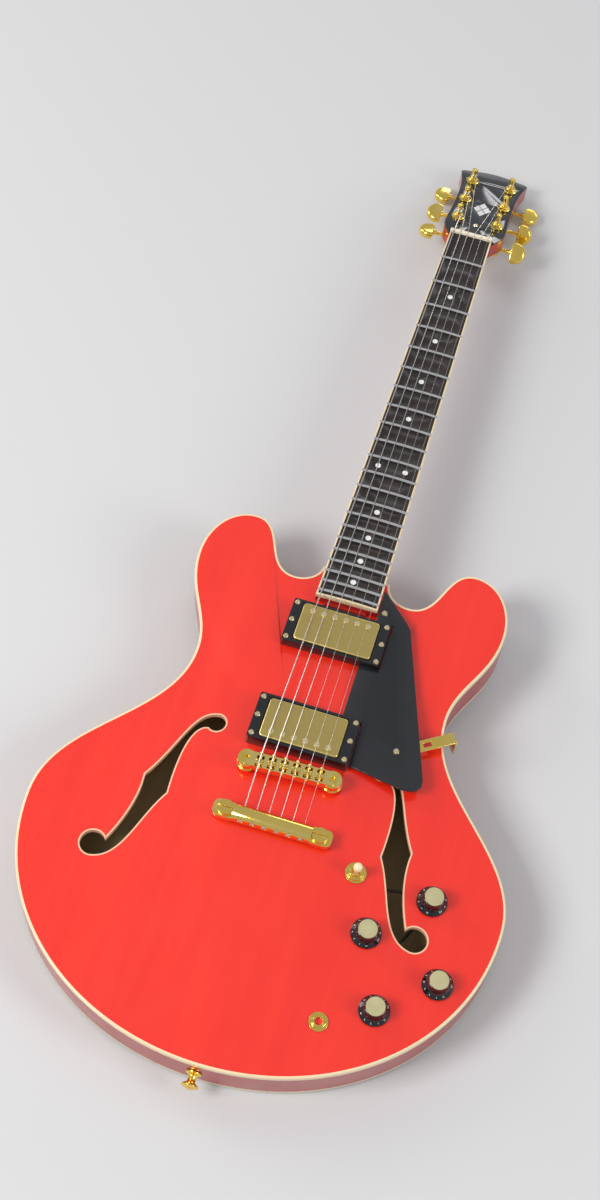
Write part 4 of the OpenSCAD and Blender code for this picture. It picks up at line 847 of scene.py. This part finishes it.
# %% Drawn covers
cover_size = (70.0, 38.5, 16.0)
cover_gap = 3.6
cover_corner, cover_top_edge, cover_wall = 3.2, 1.5, 0.8
for k, name in ((0, "neck_cover"), (1, "bridge_cover")):
    bm = bmesh.new()
    bmesh.ops.create_cube(bm, size=1)
    bmesh.ops.scale(bm, verts=bm.verts, vec=cover_size)
    bmesh.ops.translate(bm, verts=bm.verts, vec=(0, 0, -cover_gap - cover_size[2] / 2))
    upright = [e for e in bm.edges if abs((e.verts[0].co - e.verts[1].co).z) > 1]
    bmesh.ops.bevel(bm, geom=upright, offset=cover_corner, affect="EDGES", segments=6,
                    profile=0.5, material=-1)
    lid = max(bm.faces, key=lambda f: f.calc_center_median().z)
    bmesh.ops.bevel(bm, geom=list(lid.edges), offset=cover_top_edge, affect="EDGES", segments=5,
                    profile=0.5, material=-1)
    floor_face = min(bm.faces, key=lambda f: f.calc_center_median().z)
    bmesh.ops.delete(bm, geom=[floor_face], context="FACES_ONLY")
    bmesh.ops.recalc_face_normals(bm, faces=bm.faces)
    if max(bm.faces, key=lambda f: f.calc_center_median().z).normal.z < 0:
        bmesh.ops.reverse_faces(bm, faces=bm.faces)
    bmesh.ops.solidify(bm, geom=bm.faces[:], thickness=cover_wall)
    cover = make_object(bake_place(bm, pickup_frame(k)), name, [cover_gold], 40)
    if k == 0:
        settle(cover, "pickup_covers")
    else:
        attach(cover, "body")
    print(name, len(cover.data.polygons), "faces")


# %% [markdown]
# ## Knobs
# A top-hat knob is moulded in black plastic with a flared skirt that carries a ring of white figures,
# a ribbed barrel to grip, and a bright metal disc let into its top.

# %% Frame of a control on the arched top
def on_top(x, y):
    gx = (arch_at(x + 1, y) - arch_at(x - 1, y)) / 2
    gy = (arch_at(x, y + 1) - arch_at(x, y - 1)) / 2
    upright = Vector((0, 0, 1)).rotation_difference(Vector((-gx, -gy, 1)).normalized()).to_matrix().to_4x4()
    return BODY @ Matrix.Translation(Vector((x, y, rim_z + arch_at(x, y))) * MM) @ upright


def spun(bm, profile, steps):
    verts = [bm.verts.new((r, 0, h)) for r, h in profile]
    edges = [bm.edges.new(pair) for pair in zip(verts, verts[1:])]
    bmesh.ops.spin(bm, geom=verts + edges, cent=(0, 0, 0), axis=(0, 0, 1), dvec=(0, 0, 0),
                   angle=2 * math.pi, steps=steps, use_merge=True, use_duplicate=False)
    bmesh.ops.remove_doubles(bm, verts=bm.verts, dist=0.0005)
    bmesh.ops.recalc_face_normals(bm, faces=bm.faces)
    return bm


# %% The knob's figures
def figure_ring():
    ring = bmesh.new()
    for number in range(11):
        text = bpy.data.curves.new("figure", "FONT")
        text.body = str(number)
        text.size = 3.0
        text.align_x = "CENTER"
        text.align_y = "CENTER"
        text.extrude = 0.05
        holder = bpy.data.objects.new("figure", text)
        scene.collection.objects.link(holder)
        bpy.context.view_layer.update()
        mesh = bpy.data.meshes.new_from_object(holder.evaluated_get(bpy.context.evaluated_depsgraph_get()))
        angle = math.radians(240 - 30 * number)
        mesh.transform(Matrix.Rotation(angle - math.pi / 2, 4, "Z") @ Matrix.Translation((0, 11.1, 3.95))
                       @ Matrix.Rotation(math.radians(-44), 4, "X"))
        ring.from_mesh(mesh)
        bpy.data.objects.remove(holder)
        bpy.data.curves.remove(text)
        bpy.data.meshes.remove(mesh)
    return ring


figures = figure_ring()
print("figures", len(figures.verts), "points")

# %% Four knobs
skirt = [(3.2, 1.9), (11.6, 1.9), (12.2, 1.2), (12.9, 1.2), (13.0, 1.5), (13.0, 2.1), (12.7, 2.5), (11.0, 4.1),
         (9.6, 5.6), (9.15, 6.5)]
barrel = [(9.05, 7.0), (8.95, 9.0), (8.85, 11.0), (8.75, 13.0), (8.65, 14.2)]
crown = [(8.45, 14.75), (8.2, 14.9), (8.0, 14.7), (7.95, 14.2), (3.2, 14.2), (3.2, 1.9)]
control_spots = ((144, -71), (99.7, -114), (166.5, -137), (123.5, -173))
rib_count = 40
for i, (x, y) in enumerate(control_spots, 1):
    seat = on_top(x, y) @ Matrix.Rotation(math.radians(23 * i), 4, "Z")
    bm = spun(bmesh.new(), skirt + barrel + crown, 4 * rib_count)
    for v in bm.verts:
        if 6.8 < v.co.z < 14.0 and v.co.xy.length > 8.5:
            turn = math.atan2(v.co.y, v.co.x)
            v.co.xy *= 1 + 0.022 * math.cos(turn * rib_count)
    stem = spun(bmesh.new(), [(0, -11.2), (3, -11.2), (3, 13.1), (0, 13.1)], 32)
    stem_mesh = bpy.data.meshes.new("stem")
    stem.to_mesh(stem_mesh)
    bm.from_mesh(stem_mesh)
    knob = make_object(bake_place(bm, seat), f"knob_{i}_moulding", [black_plastic], 30)
    settle(knob, f"control_knob_{i}")
    dial = bmesh.new()
    bmesh.ops.create_circle(dial, cap_ends=True, radius=7.9, segments=96)
    bmesh.ops.inset_region(dial, faces=dial.faces[:], thickness=0.5)
    bmesh.ops.poke(dial, faces=[max(dial.faces, key=lambda f: f.calc_area())])
    for v in dial.verts:
        ray = round(math.degrees(math.atan2(v.co.y, v.co.x)) / 3.75)
        v.co.z = 14.75 + (0.18 if v.co.length < 7.6 and v.co.length > 1 and ray % 2 else 0.0)
    grown = bmesh.ops.extrude_face_region(dial, geom=dial.faces[:])["geom"]
    bmesh.ops.translate(dial, verts=[g for g in grown if isinstance(g, bmesh.types.BMVert)], vec=(0, 0, -0.5))
    bmesh.ops.recalc_face_normals(dial, faces=dial.faces)
    cap = make_object(bake_place(dial, seat), f"knob_{i}_disc", [cap_gold], 20)
    marks = figures.copy()
    ring = make_object(bake_place(marks, seat), f"knob_{i}_figures", [dial_white], 30)
    for extra in (cap, ring):
        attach(extra, f"knob_{i}")
figures.free()
print("four knobs")

# %% Finish
import json
